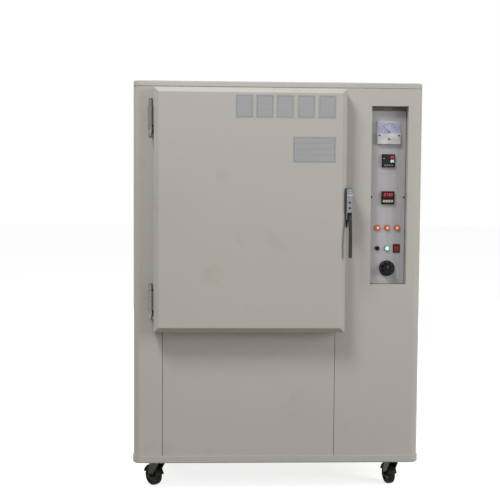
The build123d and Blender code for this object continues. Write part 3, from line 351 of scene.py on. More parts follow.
class Shader:
    """A Principled material with helpers for its detail."""

    def __init__(self, name, color, roughness, metallic=0.0):
        self.material = bpy.data.materials.new(name)
        self.material.use_nodes = True
        self.tree = self.material.node_tree
        self.surface = self.tree.nodes["Principled BSDF"]
        self.color = color
        self.set("Base Color", (*color, 1.0))
        self.set("Roughness", roughness)
        self.set("Metallic", metallic)

    def set(self, socket, value):
        self.surface.inputs[socket].default_value = value

    def node(self, kind, **values):
        made = self.tree.nodes.new(kind)
        for key, value in values.items():
            if hasattr(made, key):
                setattr(made, key, value)
            else:
                made.inputs[key].default_value = value
        return made

    def link(self, source, target):
        self.tree.links.new(source, target)

    def noise(self, scale, detail=3.0, stretch=(1, 1, 1)):
        """Noise in the object's own metres, stretched along its axes."""
        place = self.node("ShaderNodeTexCoord")
        mapping = self.node("ShaderNodeMapping")
        mapping.inputs["Scale"].default_value = stretch
        self.link(place.outputs["Object"], mapping.inputs["Vector"])
        noise = self.node("ShaderNodeTexNoise", Scale=scale, Detail=detail, Roughness=0.5)
        self.link(mapping.outputs["Vector"], noise.inputs["Vector"])
        return noise.outputs["Fac"]

    def ranged(self, source, low, high, start=0.3, end=0.7):
        """Maps a value from start..end to low..high."""
        ranged = self.node("ShaderNodeMapRange")
        for key, value in zip(("From Min", "From Max", "To Min", "To Max"), (start, end, low, high)):
            ranged.inputs[key].default_value = value
        self.link(source, ranged.inputs["Value"])
        return ranged.outputs["Result"]

    def tint(self, source, other, start=0.35, end=0.65):
        """Blends the base colour towards another one where the source is high."""
        blend = self.node("ShaderNodeMix", data_type="RGBA")
        current = self.surface.inputs["Base Color"]
        if current.is_linked:
            self.link(current.links[0].from_socket, blend.inputs[6])
        else:
            blend.inputs[6].default_value = (*self.color, 1.0)
        blend.inputs[7].default_value = (*other, 1.0)
        self.link(self.ranged(source, 0.0, 1.0, start, end), blend.inputs[0])
        self.link(blend.outputs[2], current)

    def rough(self, source, low, high):
        self.link(self.ranged(source, low, high), self.surface.inputs["Roughness"])

    def bump(self, source, depth, strength):
        """Raises the surface by depth in metres where the source is high."""
        bump = self.node("ShaderNodeBump", Strength=strength, Distance=depth)
        current = self.surface.inputs["Normal"]
        if current.is_linked:
            self.link(current.links[0].from_socket, bump.inputs["Normal"])
        self.link(source, bump.inputs["Height"])
        self.link(bump.outputs["Normal"], current)

    def glow(self, color, strength):
        self.set("Emission Color", (*color, 1.0))
        self.set("Emission Strength", strength)


def powder_coat(name, color, shade, roughness=0.42, gloss=0.5):
    """Semi-gloss powder coat: orange peel, faint clouding and a little handling dirt."""
    shader = Shader(name, color, roughness)
    shader.set("Specular IOR Level", gloss)
    shader.tint(shader.noise(1.7, 2.0), tuple(c * 0.965 for c in color))
    shader.tint(shader.noise(9.0, 6.0), shade, 0.62, 0.86)
    peel = shader.noise(420.0, 2.0)
    shader.rough(shader.noise(35.0, 4.0), roughness - 0.05, roughness + 0.09)
    shader.bump(peel, 0.06 * MM, 0.5)
    shader.bump(shader.noise(2.4, 1.0), 0.5 * MM, 0.25)
    return shader.material


def brushed(name, color, roughness, stretch, streak=0.10, metallic=1.0):
    """Metal with fine lines along the axis whose stretch is small."""
    shader = Shader(name, color, roughness, metallic)
    lines = shader.noise(260.0, 2.0, stretch)
    shader.tint(lines, tuple(c * (1 - streak) for c in color))
    shader.tint(shader.noise(4.0, 3.0), tuple(c * 0.93 for c in color), 0.45, 0.8)
    shader.rough(lines, roughness - 0.05, roughness + 0.10)
    shader.bump(lines, 0.02 * MM, 0.35)
    return shader.material


def plated(name, color, roughness):
    """Plated metal with a little haze and a few fine scratches."""
    shader = Shader(name, color, roughness, 1.0)
    shader.rough(shader.noise(60.0, 5.0), roughness, roughness + 0.14)
    shader.tint(shader.noise(140.0, 4.0), tuple(c * 0.88 for c in color), 0.58, 0.8)
    shader.bump(shader.noise(900.0, 2.0, (1, 1, 0.08)), 0.01 * MM, 0.3)
    return shader.material


def moulded(name, color, roughness, grain=1400.0, depth=0.03 * MM, gloss=0.5):
    """Moulded plastic with a fine grain and slight uneven gloss."""
    shader = Shader(name, color, roughness)
    shader.set("Specular IOR Level", gloss)
    shader.tint(shader.noise(30.0, 3.0), tuple(min(1.0, c * 1.35 + 0.004) for c in color))
    shader.rough(shader.noise(80.0, 4.0), roughness - 0.06, roughness + 0.10)
    shader.bump(shader.noise(grain, 2.0), depth, 0.5)
    return shader.material


def lens_plastic(name, color, glow, strength, coat=0.4, gloss=0.5):
    """Lit coloured plastic with fine moulded ribs."""
    shader = Shader(name, color, 0.22)
    shader.set("Coat Weight", coat)
    shader.set("Specular IOR Level", gloss)
    ribs = shader.noise(500.0, 1.0, (1, 1, 0.2))
    shader.tint(ribs, tuple(c * 0.8 for c in color))
    shader.bump(ribs, 0.08 * MM, 0.4)
    shader.glow(glow, strength)
    return shader.material


CREAM = (0.470, 0.468, 0.437)
CREAM_SHADE = (0.400, 0.390, 0.355)

cream = powder_coat("cream_powder_coat", CREAM, CREAM_SHADE)
primer = powder_coat("grey_primer", (0.16, 0.165, 0.17), (0.11, 0.11, 0.11), 0.6)
stainless = brushed("stainless_sheet", (0.52, 0.51, 0.49), 0.30, (0.02, 1, 1))
stainless_upright = brushed("stainless_sheet_upright", (0.50, 0.49, 0.475), 0.32, (1, 1, 0.02))
wire = plated("electropolished_wire", (0.52, 0.52, 0.53), 0.16)
chrome = plated("chrome_plate", (0.285, 0.275, 0.31), 0.17)
# Chrome painted near black for the latch lever: a painted dark reflection
painted_dark_chrome = plated("lever_chrome_painted_dark", (0.052, 0.052, 0.042), 0.26)
hinge_chrome = plated("hinge_chrome", (0.215, 0.212, 0.190), 0.20)
black_oxide = plated("black_oxide", (0.045, 0.045, 0.05), 0.38)
heat_tinted = brushed("heat_tinted_tube", (0.30, 0.25, 0.21), 0.42, (1, 0.1, 1))
motor_black = powder_coat("motor_enamel", (0.030, 0.033, 0.036), (0.05, 0.05, 0.05), 0.45)
silver = brushed("anodised_plate", (0.43, 0.428, 0.452), 0.50, (1, 1, 0.012), 0.07, 0.12)
foil = brushed("label_foil", (0.375, 0.385, 0.40), 0.52, (0.02, 1, 1), 0.05, 0.0)
label_ink = moulded("label_ink", (0.225, 0.225, 0.25), 0.55)
zinc = brushed("zinc_plate", (0.42, 0.42, 0.40), 0.38, (1, 0.3, 1), 0.15)
caster_black = powder_coat("caster_enamel", (0.017, 0.016, 0.012), (0.05, 0.045, 0.035), 0.34, 0.22)
black_plastic = moulded("black_plastic", (0.005, 0.005, 0.006), 0.42, gloss=0.14)
# Dark foam for the strips round the control plate: a painted shade
painted_shade_foam = moulded("grey_foam_painted_shade", (0.20, 0.195, 0.17), 0.9, 1800.0, 0.25 * MM, 0.1)
grey_plastic = moulded("grey_plastic", (0.46, 0.46, 0.465), 0.45)
key_plastic = moulded("key_plastic", (0.42, 0.37, 0.26), 0.40)
seal_rubber = moulded("seal_rubber", (0.055, 0.055, 0.055), 0.62, 900.0, 0.08 * MM)
tyre_rubber = moulded("tyre_rubber", (0.009, 0.007, 0.006), 0.60, 700.0, 0.10 * MM, 0.15)
soft_key = moulded("soft_key", (0.17, 0.16, 0.20), 0.5)
print_black = moulded("printed_black", (0.014, 0.014, 0.022), 0.5, gloss=0.2)
print_grey = moulded("printed_grey", (0.20, 0.20, 0.21), 0.5)
print_line = moulded("printed_line", (0.20, 0.195, 0.20), 0.5)
meter_paper = moulded("meter_paper", (0.35, 0.38, 0.51), 0.6, 2500.0, 0.01 * MM, 0.2)
display_black = moulded("display_window", (0.004, 0.008, 0.007), 0.20, 300.0, 0.005 * MM, 0.3)
display_red = lens_plastic("red_display_window", (0.075, 0.002, 0.008), (0.9, 0.02, 0.06), 0.03, 0.0, 0.2)
orange_lens = lens_plastic("orange_lens", (0.50, 0.10, 0.035), (1.0, 0.22, 0.06), 0.20)
orange_core = lens_plastic("orange_core", (0.80, 0.42, 0.28), (1.0, 0.50, 0.32), 0.50)
green_lens = lens_plastic("green_lens", (0.12, 0.34, 0.22), (0.20, 0.80, 0.50), 0.22)
green_core = lens_plastic("green_core", (0.70, 0.95, 0.84), (0.72, 1.0, 0.86), 0.65)
red_rocker = lens_plastic("red_rocker", (0.20, 0.016, 0.008), (0.9, 0.05, 0.02), 0.03, 0.0, 0.25)
rocker_frame = moulded("rocker_frame", (0.045, 0.008, 0.005), 0.40, gloss=0.25)
orange_bezel = plated("orange_lit_bezel", (0.42, 0.15, 0.09), 0.30)
green_bezel = plated("green_lit_bezel", (0.20, 0.36, 0.29), 0.30)
red_digits = lens_plastic("red_digits", (0.70, 0.10, 0.14), (1.0, 0.16, 0.22), 0.36, 0.0, 0.2)
green_digits = lens_plastic("green_digits", (0.60, 0.9, 0.66), (0.62, 1.0, 0.70), 0.55)


def mineral_wool():
    """Pressed yellow fibre."""
    shader = Shader("mineral_wool", (0.45, 0.36, 0.16), 0.95)
    fibre = shader.noise(240.0, 6.0, (1, 1, 0.3))
    shader.tint(fibre, (0.27, 0.20, 0.08))
    shader.bump(fibre, 1.2 * MM, 0.8)
    return shader.material


def clear_plastic():
    """The meter's clear cover, faintly blue, which lets lamp light through to the scale."""
    shader = Shader("clear_cover", (0.62, 0.66, 0.80), 0.05)
    shader.set("Alpha", 0.12)
    shader.rough(shader.noise(50.0, 4.0), 0.03, 0.10)
    return shader.material


wool = mineral_wool()
clear = clear_plastic()
SCREW_FINISHES = {"screw_metal": black_oxide, "chrome_plate": chrome}


# Cabinet

def cabinet():
    for node in ("left_side_panel", "right_side_panel", "front_centre_panel", "rear_panel"):
        refined(node, cream, 0.5, 2)
    refined("base_tray", cream, 1.2, 3)
    refined("top_cap", cream, 0.6, 2)
    refined("control_pocket", cream, 0.4, 1)
    painted("support_frame", primer)
    painted("chamber_insulation", wool)
    painted("door_insulation", wool)


def cross_head(name, size, place, outwards, body, slot_name):
    """A pan-head screw with a cross recess, of a radius and a height."""
    radius, height = size
    profile = [(radius, 0), (radius, height * 0.25)]
    for step in range(1, 5):
        angle = math.radians(18 * step)
        profile.append((radius * (0.35 + 0.65 * math.cos(angle)),
                        height * (0.25 + 0.75 * math.sin(angle))))
    profile += [(radius * 0.35, height), (0, height)]
    head = added("head", finished(f"{name}_{radius:.5f}", lathe_form(profile, (0, 0, 0), UP, 40)))
    arm = radius * 0.13
    reach = radius * 0.52
    cross = joined([
        box_form((-reach, -arm, height * 0.45), (reach, arm, height * 2)),
        box_form((-arm, -reach, height * 0.45), (arm, reach, height * 2)),
    ])
    cutter_mesh = bpy.data.meshes.new("cutter")
    cross.to_mesh(cutter_mesh)
    cross.free()
    cutter = added("cutter", cutter_mesh)
    cut = head.modifiers.new("cut", "BOOLEAN")
    cut.operation = "DIFFERENCE"
    cut.solver = "EXACT"
    cut.use_self = True
    cut.object = cutter
    mesh = baked(head)
    bpy.data.objects.remove(cutter)
    return piece(name, mesh, body, SCREW_FINISHES[slot_name], place=facing(place, outwards))


def islands(node):
    """Low and high corners of each loose solid of a CAD node."""
    form = bmesh.new()
    form.from_mesh(frame["nodes"][node].data)
    bmesh.ops.remove_doubles(form, verts=form.verts, dist=MERGE_DISTANCE)
    seen, boxes = set(), []
    for start in form.verts:
        if start in seen:
            continue
        seen.add(start)
        stack, group = [start], []
        while stack:
            vertex = stack.pop()
            group.append(vertex.co.copy())
            for edge in vertex.link_edges:
                other = edge.other_vert(vertex)
                if other not in seen:
                    seen.add(other)
                    stack.append(other)
        low = Vector([min(point[i] for point in group) for i in range(3)])
        high = Vector([max(point[i] for point in group) for i in range(3)])
        boxes.append((low, high))
    form.free()
    return sorted(boxes, key=lambda pair: (round(pair[0].x, 4), round(pair[0].z, 4), round(pair[0].y, 4)))


def panel_screws():
    """Cross-head screws where the CAD has its own."""
    rear_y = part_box("rear_panel")[1].y
    plate_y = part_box("control_plate")[0].y
    for index, (low, high) in enumerate(islands("panel_screws")):
        middle = (low + high) / 2
        radius = (high.x - low.x) / 2
        if high.y > rear_y:
            seat, outwards, height = rear_y, REAR, high.y - rear_y
        else:
            seat, outwards, height = plate_y, FRONT, plate_y - low.y
        cross_head(f"panel_screw_{index + 1}", (radius, height), (middle.x, seat, middle.z),
                                outwards, "cabinet", "screw_metal")
    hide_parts("panel_screws")


def louvres():
    """A pressed hood over each slot of the rear panel."""
    low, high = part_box("rear_panel")
    quarter = (cad_high.x - cad_low.x - 2 * SIDE_OVERHANG) / 4
    mesh = finished("louvre", louvre_form(LOUVRE_LENGTH, LOUVRE_DEPTH))
    index = 0
    for x in (-quarter, quarter):
        for base in (low.z + LOUVRE_MARGIN, high.z - LOUVRE_MARGIN - LOUVRE_PITCH * LOUVRES):
            for row in range(LOUVRES):
                z = base + LOUVRE_PITCH * row + LOUVRE_RISE
                index += 1
                piece(f"louvre_{index}", mesh, "cabinet", cream,
                      place=Matrix.Translation((x, high.y, z)))


def louvre_form(length, depth):
    """A half-dome strip that leans out at its foot, open underneath."""
    form = bmesh.new()
    across, along = 10, 28
    height = 11.0 * MM
    skin = 0.8 * MM
    grids = []
    for inset in (0.0, skin):
        grid = []
        for i in range(along + 1):
            share = i / along
            end = min(share, 1 - share) * length / (depth * 1.6)
            bulge = math.sqrt(max(0.0, 1 - (1 - min(1.0, end)) ** 2))
            row = []
            for j in range(across + 1):
                angle = math.radians(90 * j / across)
                out = (depth - inset) * math.sin(angle) * bulge
                down = (height - inset) * (1 - math.cos(angle)) * (0.35 + 0.65 * bulge)
                row.append(form.verts.new(((share - 0.5) * (length - 2 * inset), out, -down)))
            grid.append(row)
        grids.append(grid)
    for k, grid in enumerate(grids):
        for i in range(along):
            for j in range(across):
                corners = [grid[i][j], grid[i + 1][j], grid[i + 1][j + 1], grid[i][j + 1]]
                form.faces.new(corners if k == 0 else corners[::-1])
    outer, inner = grids
    for i in range(along):
        form.faces.new([outer[i][across], outer[i + 1][across], inner[i + 1][across], inner[i][across]])
    return form


# Chamber

def chamber():
    refined("chamber_liner", stainless, 0.3, 1)
    painted("air_baffle", stainless_upright)
    refined("shelf_runners", stainless, 0.3, 1)
    painted("upper_shelf", wire)
    painted("lower_shelf", wire)
    painted("fan_impeller", stainless)
    painted("heater_ring", heat_tinted)
    painted("temperature_probe", stainless)
    painted("fan_motor", motor_black)
    refined("electrical_plate", zinc, 0.3, 1)
    refined("contactor", grey_plastic, 0.5, 2)


# Door

def door():
    refined("door_shell", cream, 1.6, 4)
    refined("door_inner_panel", stainless, 0.3, 1)
    refined("door_label_plates", foil, 0.12, 1)
    label_frames()
    gasket()
    low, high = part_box("door_inner_panel")
    left, right = low.x + DOOR_SCREW_INSET, high.x - DOOR_SCREW_INSET
    foot, head = low.z + DOOR_SCREW_INSET, high.z - DOOR_SCREW_INSET
    spots = [(left + (right - left) * across / 5, z) for across in range(6) for z in (foot, head)]
    spots += [(x, foot + (head - foot) * up / 7) for up in range(1, 7) for x in (left, right)]
    for index, (x, z) in enumerate(spots):
        cross_head(f"door_panel_screw_{index + 1}", DOOR_SCREW, (x, high.y, z), REAR, "door",
                   "chrome_plate")


def label_frames():
    """A printed border on each blank label plate, and ruled lines on the large one."""
    bars = []
    for low, high in islands("door_label_plates"):
        left, right = low.x + LABEL_MARGIN, high.x - LABEL_MARGIN
        foot, head = low.z + LABEL_MARGIN, high.z - LABEL_MARGIN
        front, back = low.y - PRINT_RISE, low.y + PRINT_RISE
        for z in (foot, head - LABEL_LINE):
            bars.append(box_form((left, front, z), (right, back, z + LABEL_LINE)))
        for x in (left, right - LABEL_LINE):
            bars.append(box_form((x, front, foot + LABEL_LINE),
                                 (x + LABEL_LINE, back, head - LABEL_LINE)))
        if high.x - low.x > WIDE_LABEL:
            for share in LABEL_RULES:
                z = foot + (head - foot) * share
                bars.append(box_form((left + 2 * LABEL_MARGIN, front, z),
                                     (right - 2 * LABEL_MARGIN, back, z + LABEL_LINE * 0.7)))
    formed("label_frames", joined(bars), "door", label_ink)


def gasket():
    """A seal with a foot, a bulb and a lip, swept round the door's inner face."""
    low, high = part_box("door_gasket")
    width = 22.0 * MM
    outer_radius = 18.0 * MM
    depth = high.y - low.y
    section = [(0.0, 0.0), (width, 0.0), (width, depth * 0.30), (width * 0.86, depth * 0.36)]
    for step in range(9):
        angle = math.radians(180 * step / 8)
        section.append((width * (0.56 + 0.26 * math.cos(angle)), depth * (0.45 + 0.55 * math.sin(angle))))
    section += [(width * 0.26, depth * 0.36), (width * 0.10, depth * 0.62), (0.0, depth * 0.66)]
    middle = (low + high) / 2
    half_x = (high.x - low.x) / 2
    half_z = (high.z - low.z) / 2
    path = []
    steps = 8
    for side_x, side_z, start in ((1, 1, 0), (-1, 1, 90), (-1, -1, 180), (1, -1, 270)):
        for step in range(steps + 1):
            angle = math.radians(start + 90 * step / steps)
            path.append((side_x * (half_x - outer_radius), side_z * (half_z - outer_radius),
                         math.cos(angle), math.sin(angle)))
    form = bmesh.new()
    rings = []
    for base_x, base_z, cos, sin in path:
        ring = []
        for inwards, out in section:
            reach = outer_radius - inwards
            ring.append(form.verts.new((middle.x + base_x + reach * cos, low.y + out,
                                        middle.z + base_z + reach * sin)))
        rings.append(ring)
    for index, ring in enumerate(rings):
        after = rings[(index + 1) % len(rings)]
        for k in range(len(section)):
            other = (k + 1) % len(section)
            form.faces.new([ring[k], after[k], after[other], ring[other]])
    formed("gasket", form, "door", seal_rubber, replaced=["door_gasket"])


# Hinges and latch

def hinges():
    refined("hinge_cabinet_leaves", hinge_chrome, 0.5, 2)
    refined("hinge_door_leaves", hinge_chrome, 0.5, 2)
    index = 0
    for low, high in islands("hinge_door_leaves"):
        for share in (0.2, 0.8):
            for y_share in (0.55, 0.85):
                z = low.z + (high.z - low.z) * share
                y = low.y + (high.y - low.y) * y_share
                index += 1
                cross_head(f"hinge_screw_{index}", HINGE_SCREW, (high.x - HINGE_LEAF, y, z), LEFT, "door",
                           "chrome_plate")


def latch():
    refined("latch_body", chrome, 0.6, 3)
    # The lever's chrome is painted dark, a painted reflection of dark surroundings
    refined("latch_lever", painted_dark_chrome, 0.8, 3)
    refined("latch_cam", black_plastic, 0.5, 2)
    refined("latch_keeper", chrome, 0.4, 2)
    low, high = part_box("latch_body")
    for index, share in enumerate((0.55, 0.88)):
        z = low.z + (high.z - low.z) * share
        cross_head(f"latch_screw_{index + 1}", LATCH_SIDE_SCREW, (high.x, (low.y + high.y) / 2, z), RIGHT,
                   "door", "screw_metal")
    top = Vector(((low.x + high.x) / 2, low.y, high.z))
    for index, drop in enumerate(LATCH_SCREW_DROPS):
        cross_head(f"latch_front_screw_{index + 1}", LATCH_FRONT_SCREW, front_point(top, 0, -drop), FRONT,
                   "door", "screw_metal")
    half = (high.x - low.x) / 2 / MM - HIGHLIGHT_RIDGE_INSET
    highlight_ridge = box_form(front_point(top, -half, -HIGHLIGHT_RIDGE_FOOT, HIGHLIGHT_RIDGE_RISE),
                     front_point(top, half, -HIGHLIGHT_RIDGE_HEAD))
    # A real raised ridge, but its brighter wire finish is a painted highlight line across the latch front
    formed("latch_ridge_highlight", highlight_ridge, "door", wire, 0.5, 3)


# Control pocket

def front_point(centre, right, up, out=0.0):
    """A point on an instrument's front, in millimetres from its centre."""
    return Vector((centre.x + right * MM, centre.y - out * MM, centre.z + up * MM))


def centre_of(node):
    """The middle of a node's front."""
    low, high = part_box(node)
    return Vector(((low.x + high.x) / 2, low.y, (low.z + high.z) / 2))


def strip(name, centre, up, width, height, out, material):
    """A thin raised rectangle on the front of the cabinet's instruments."""
    form = box_form(front_point(centre, -width / 2, up - height / 2, out),
                    front_point(centre, width / 2, up + height / 2))
    formed(name, form, "cabinet", material, 0.1)


SEGMENTS = {
    "0": "abcdef", "1": "bc", "2": "abged", "3": "abgcd", "4": "fgbc",
    "5": "afgcd", "6": "afgedc", "7": "abc", "8": "abcdefg", "9": "abcdfg",
}


def digits_form(text, centre, right, up, width, height, pitch, stroke):
    """Seven-segment numerals on an instrument's front."""
    bars = {
        "a": (0, 1, True), "g": (0, 0, True), "d": (0, -1, True),
        "f": (-1, 0.5, False), "b": (1, 0.5, False), "e": (-1, -0.5, False), "c": (1, -0.5, False),
    }
    tip = stroke / 2
    forms = []
    for index, character in enumerate(text):
        middle = right + (index - (len(text) - 1) / 2) * pitch
        for bar in SEGMENTS[character]:
            across, rise, flat = bars[bar]
            x = middle + across * (width - stroke) / 2
            z = up + rise * (height - stroke) / 2
            half = ((width if flat else height / 2) - stroke * 1.15) / 2
            if flat:
                outline = [(-half - tip * 0.6, 0), (-half, tip), (half, tip), (half + tip * 0.6, 0),
                           (half, -tip), (-half, -tip)]
            else:
                outline = [(0, half + tip * 0.6), (-tip, half), (-tip, -half), (0, -half - tip * 0.6),
                           (tip, -half), (tip, half)]
            outline = [((x + px) * MM + (z - up + pz) * DIGIT_SLANT * MM, (z + pz) * MM)
                       for px, pz in outline]
            forms.append(prism_form(outline, DIGIT_RISE, facing(centre, FRONT)))
    return joined(forms)


def spread(sweep, count):
    """Angles spread over a sweep in degrees, half of it on each side of straight up."""
    return [math.radians(-sweep / 2 + sweep * index / (count - 1)) for index in range(count)]


def scale_point(pivot, reach, angle, out):
    """A point on a round scale, a little in front of it."""
    return pivot + Vector((reach * math.sin(angle), -out, reach * math.cos(angle)))


def tick_form(pivot, angle, half, start, end):
    """A printed mark of a round scale, between two distances from its pivot."""
    outline = [(-half, start), (half, start), (half, end), (-half, end)]
    return prism_form(outline, PRINT_RISE, facing(pivot, FRONT) @ Matrix.Rotation(-angle, 4, "Z"))


def numeral(name, text, size, place, material, body):
    """A printed plain number, as thin raised type on the front."""
    curve = bpy.data.curves.new(name, "FONT")
    curve.body = text
    curve.size = size
    curve.align_x = "CENTER"
    curve.align_y = "CENTER"
    curve.extrude = TYPE_RISE
    curve.resolution_u = 3
    mesh = baked(added(name + "_type", curve))
    piece(name, mesh, body, material, place=facing(place, FRONT))


def control_plate():
    refined("control_plate", silver, 0.3, 1)
    plate = centre_of("control_plate")
    lines = []
    for rise, width in PLATE_LINES:
        up = (tray_foot - plate.z) / MM + rise
        lines.append(box_form(front_point(plate, -width / 2, up - PLATE_LINE_HALF, PLATE_LINE_RISE),
                              front_point(plate, width / 2, up + PLATE_LINE_HALF)))
    formed("plate_lines", joined(lines), "cabinet", print_line)
    # Dark foam strips on the plate's front, widest at the top, are painted shade where the pocket's edges
    # shade the plate
    low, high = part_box("control_plate")
    front = low.y - SHADE_FOAM_RISE
    foot, head = low.z + SHADE_FOAM_FOOT, high.z - SHADE_FOAM_TOP
    painted_shade_strips = [
        box_form((low.x, front, head), (high.x, low.y, high.z)),
        box_form((low.x, front, foot), (low.x + SHADE_FOAM_SIDE, low.y, head)),
        box_form((high.x - SHADE_FOAM_SIDE, front, foot), (high.x, low.y, head)),
        box_form((low.x, front, low.z), (high.x, low.y, foot)),
    ]
    formed("plate_painted_shade_seal", joined(painted_shade_strips), "cabinet", painted_shade_foam)


def panel_meter():
    """Grey base and cover, blue-white scale under the clear window, screws and zero adjuster."""
    refined("meter_case", grey_plastic, 0.3, 2)
    refined("meter_window", clear, 0.25, 2)
    refined("meter_needle", print_black, 0.1, 1)
    low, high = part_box("meter_window")
    centre = Vector(((low.x + high.x) / 2, high.y, (low.z + high.z) / 2))
    strip("meter_scale", centre, 0, 80.0, 40.0, SCALE_RISE, meter_paper)
    needle_low, needle_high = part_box("meter_needle")
    pivot = Vector((needle_high.x - PIVOT_INSET, high.y - SCALE_RISE * MM, needle_low.z + PIVOT_INSET))
    inner, outer = METER_RADIUS, METER_RADIUS + METER_ARC
    turns = spread(METER_SWEEP, 41)
    marks = []
    for one, two in zip(turns, turns[1:]):
        corners = ((inner, one), (outer, one), (outer, two), (inner, two))
        outline = [(reach * math.sin(turn), reach * math.cos(turn)) for reach, turn in corners]
        marks.append(prism_form(outline, METER_ARC_RISE, facing(pivot, FRONT)))
    for index, angle in enumerate(spread(METER_SWEEP, 21)):
        half, length = METER_TICK if index % 5 else METER_LONG_TICK
        marks.append(tick_form(pivot, angle, half, inner, inner + length))
    formed("meter_marks", joined(marks), "cabinet", print_black)
    texts = ("0", "10", "20", "30")
    for index, (text, angle) in enumerate(zip(texts, spread(METER_SWEEP, len(texts)))):
        place = scale_point(pivot, METER_RADIUS - METER_NUMBER_INSET, angle, METER_ARC_RISE)
        numeral(f"meter_number_{index + 1}", text, METER_NUMBER_SIZE, place, print_black,
                "cabinet")
    case = centre_of("meter_case")
    for index, side in enumerate((-1, 1)):
        place = (case.x + side * METER_SCREW_SIDE, low.y, low.z - METER_SCREW_DROP)
        cross_head(f"meter_screw_{index + 1}", METER_SCREW, place, FRONT, "cabinet", "screw_metal")
    zero = (case.x, low.y, case.z - METER_ZERO_DROP)
    profile = [(3.6 * MM, 0), (3.6 * MM, 0.9 * MM), (3.0 * MM, 1.3 * MM), (1.2 * MM, 1.25 * MM),
               (1.0 * MM, 0.6 * MM), (0, 0.6 * MM)]
    formed("zero_adjuster", lathe_form(profile, zero, FRONT, 32), "cabinet",
           black_plastic)


def temperature_controller():
    refined("temperature_controller", black_plastic, 0.4, 2)
    centre = centre_of("temperature_controller")
    strip("controller_window", centre, 5.5, 42.0, 31.0, WINDOW_RISE, display_black)
    face = front_point(centre, 0, 0, WINDOW_RISE)
    field = box_form(front_point(face, 2.0, 6.5, 0.05), front_point(face, 20.6, 20.6))
    formed("controller_red_field", field, "cabinet", display_red)
    red = digits_form("105", face, 11.6, 13.4, 5.0, 8.4, 6.0, 1.0)
    formed("controller_red_digits", red, "cabinet", red_digits)
    green = digits_form("105", face, 11.8, -1.2, 5.0, 9.6, 5.9, 1.5)
    formed("controller_green_digits", green, "cabinet", green_digits)
    for index in range(4):
        right = -13.5 + 9.0 * index
        key = box_form(front_point(centre, right - 3.2, -19.5, 0.7),
                       front_point(centre, right + 3.2, -14.0))
        formed(f"controller_key_{index + 1}", key, "cabinet", soft_key, 0.5)
    profile = [(1.1 * MM, 0), (1.0 * MM, 0.3 * MM), (0.5 * MM, 0.5 * MM), (0, 0.55 * MM)]
    for index, material in enumerate((black_plastic, green_core, black_plastic)):
        place = front_point(centre, -17.5, 16.0 - 7.0 * index, WINDOW_RISE)
        formed(f"controller_light_{index + 1}", lathe_form(profile, place, FRONT, 20), "cabinet",
               material)


def digital_timer():
    refined("digital_timer", black_plastic, 0.4, 2)
    centre = centre_of("digital_timer")
    strip("timer_window", centre, 11.0, 40.0, 18.0, WINDOW_RISE, display_red)
    face = front_point(centre, 0, 0, WINDOW_RISE)
    red = digits_form("0730", face, 0.0, 11.4, 6.0, 9.6, 8.2, 1.1)
    formed("timer_digits", red, "cabinet", red_digits)
    for index in range(4):
        refined(f"timer_key_{index + 1}", key_plastic, 0.3, 2)


def lamps():
    """A ring that its lamp tints, a ribbed lens and a brighter diamond in the middle."""
    plate_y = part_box("control_plate")[0].y
    green = centre_of("green_lamp_lens")
    for index, (low, high) in enumerate(islands("lamp_bezels")):
        middle = (low + high) / 2
        outer = (high.x - low.x) / 2
        depth = plate_y - low.y
        profile = [(outer, 0), (outer, depth * 0.5), (outer * 0.95, depth * 0.85), (outer * 0.88, depth),
                   (outer * 0.78, depth), (outer * 0.74, depth * 0.6), (outer * 0.74, 0)]
        lit = green_bezel if abs(middle.x - green.x) + abs(middle.z - green.z) < outer else orange_bezel
        form = lathe_form(profile, (middle.x, plate_y, middle.z), FRONT, 48, closed=True)
        formed(f"lamp_ring_{index + 1}", form, "cabinet", lit)
    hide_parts("lamp_bezels")
    lens_nodes = (("orange_lamp_lenses", orange_lens, orange_core, "orange_lens", 0.74, 4),
                  ("green_lamp_lens", green_lens, green_core, "green_lens", 0.92, 12))
    for node, shell, core, slot_name, wide, sides in lens_nodes:
        for index, (low, high) in enumerate(islands(node)):
            radius = (high.x - low.x) / 2
            depth = high.y - low.y
            place = Vector(((low.x + high.x) / 2, high.y, (low.z + high.z) / 2))
            profile = [(radius, 0), (radius, depth * 0.42)]
            for step in range(1, 6):
                angle = math.radians(15 * step)
                profile.append((radius * math.cos(angle) ** 0.8, depth * (0.42 + 0.50 * math.sin(angle))))
            profile += [(radius * 0.12, depth * 0.93), (0, depth * 0.93)]
            formed(f"{node}_{index + 1}", lathe_form(profile, place, FRONT, 24), "cabinet",
                   shell, replaced=[node])
            crystal = [(radius * wide, depth * 0.52), (radius * wide * 0.8, depth * 0.90), (0, depth)]
            formed(f"{node}_core_{index + 1}", lathe_form(crystal, place, FRONT, sides), "cabinet",
                   core, 0.3)


def small_controls():
    refined("buzzer", black_plastic, 0.3, 2)
    refined("rocker_housing", rocker_frame, 0.4, 2)
    refined("rocker_switch", red_rocker, 0.6, 3)
    refined("thermostat_body", zinc, 0.3, 1)
    knob()


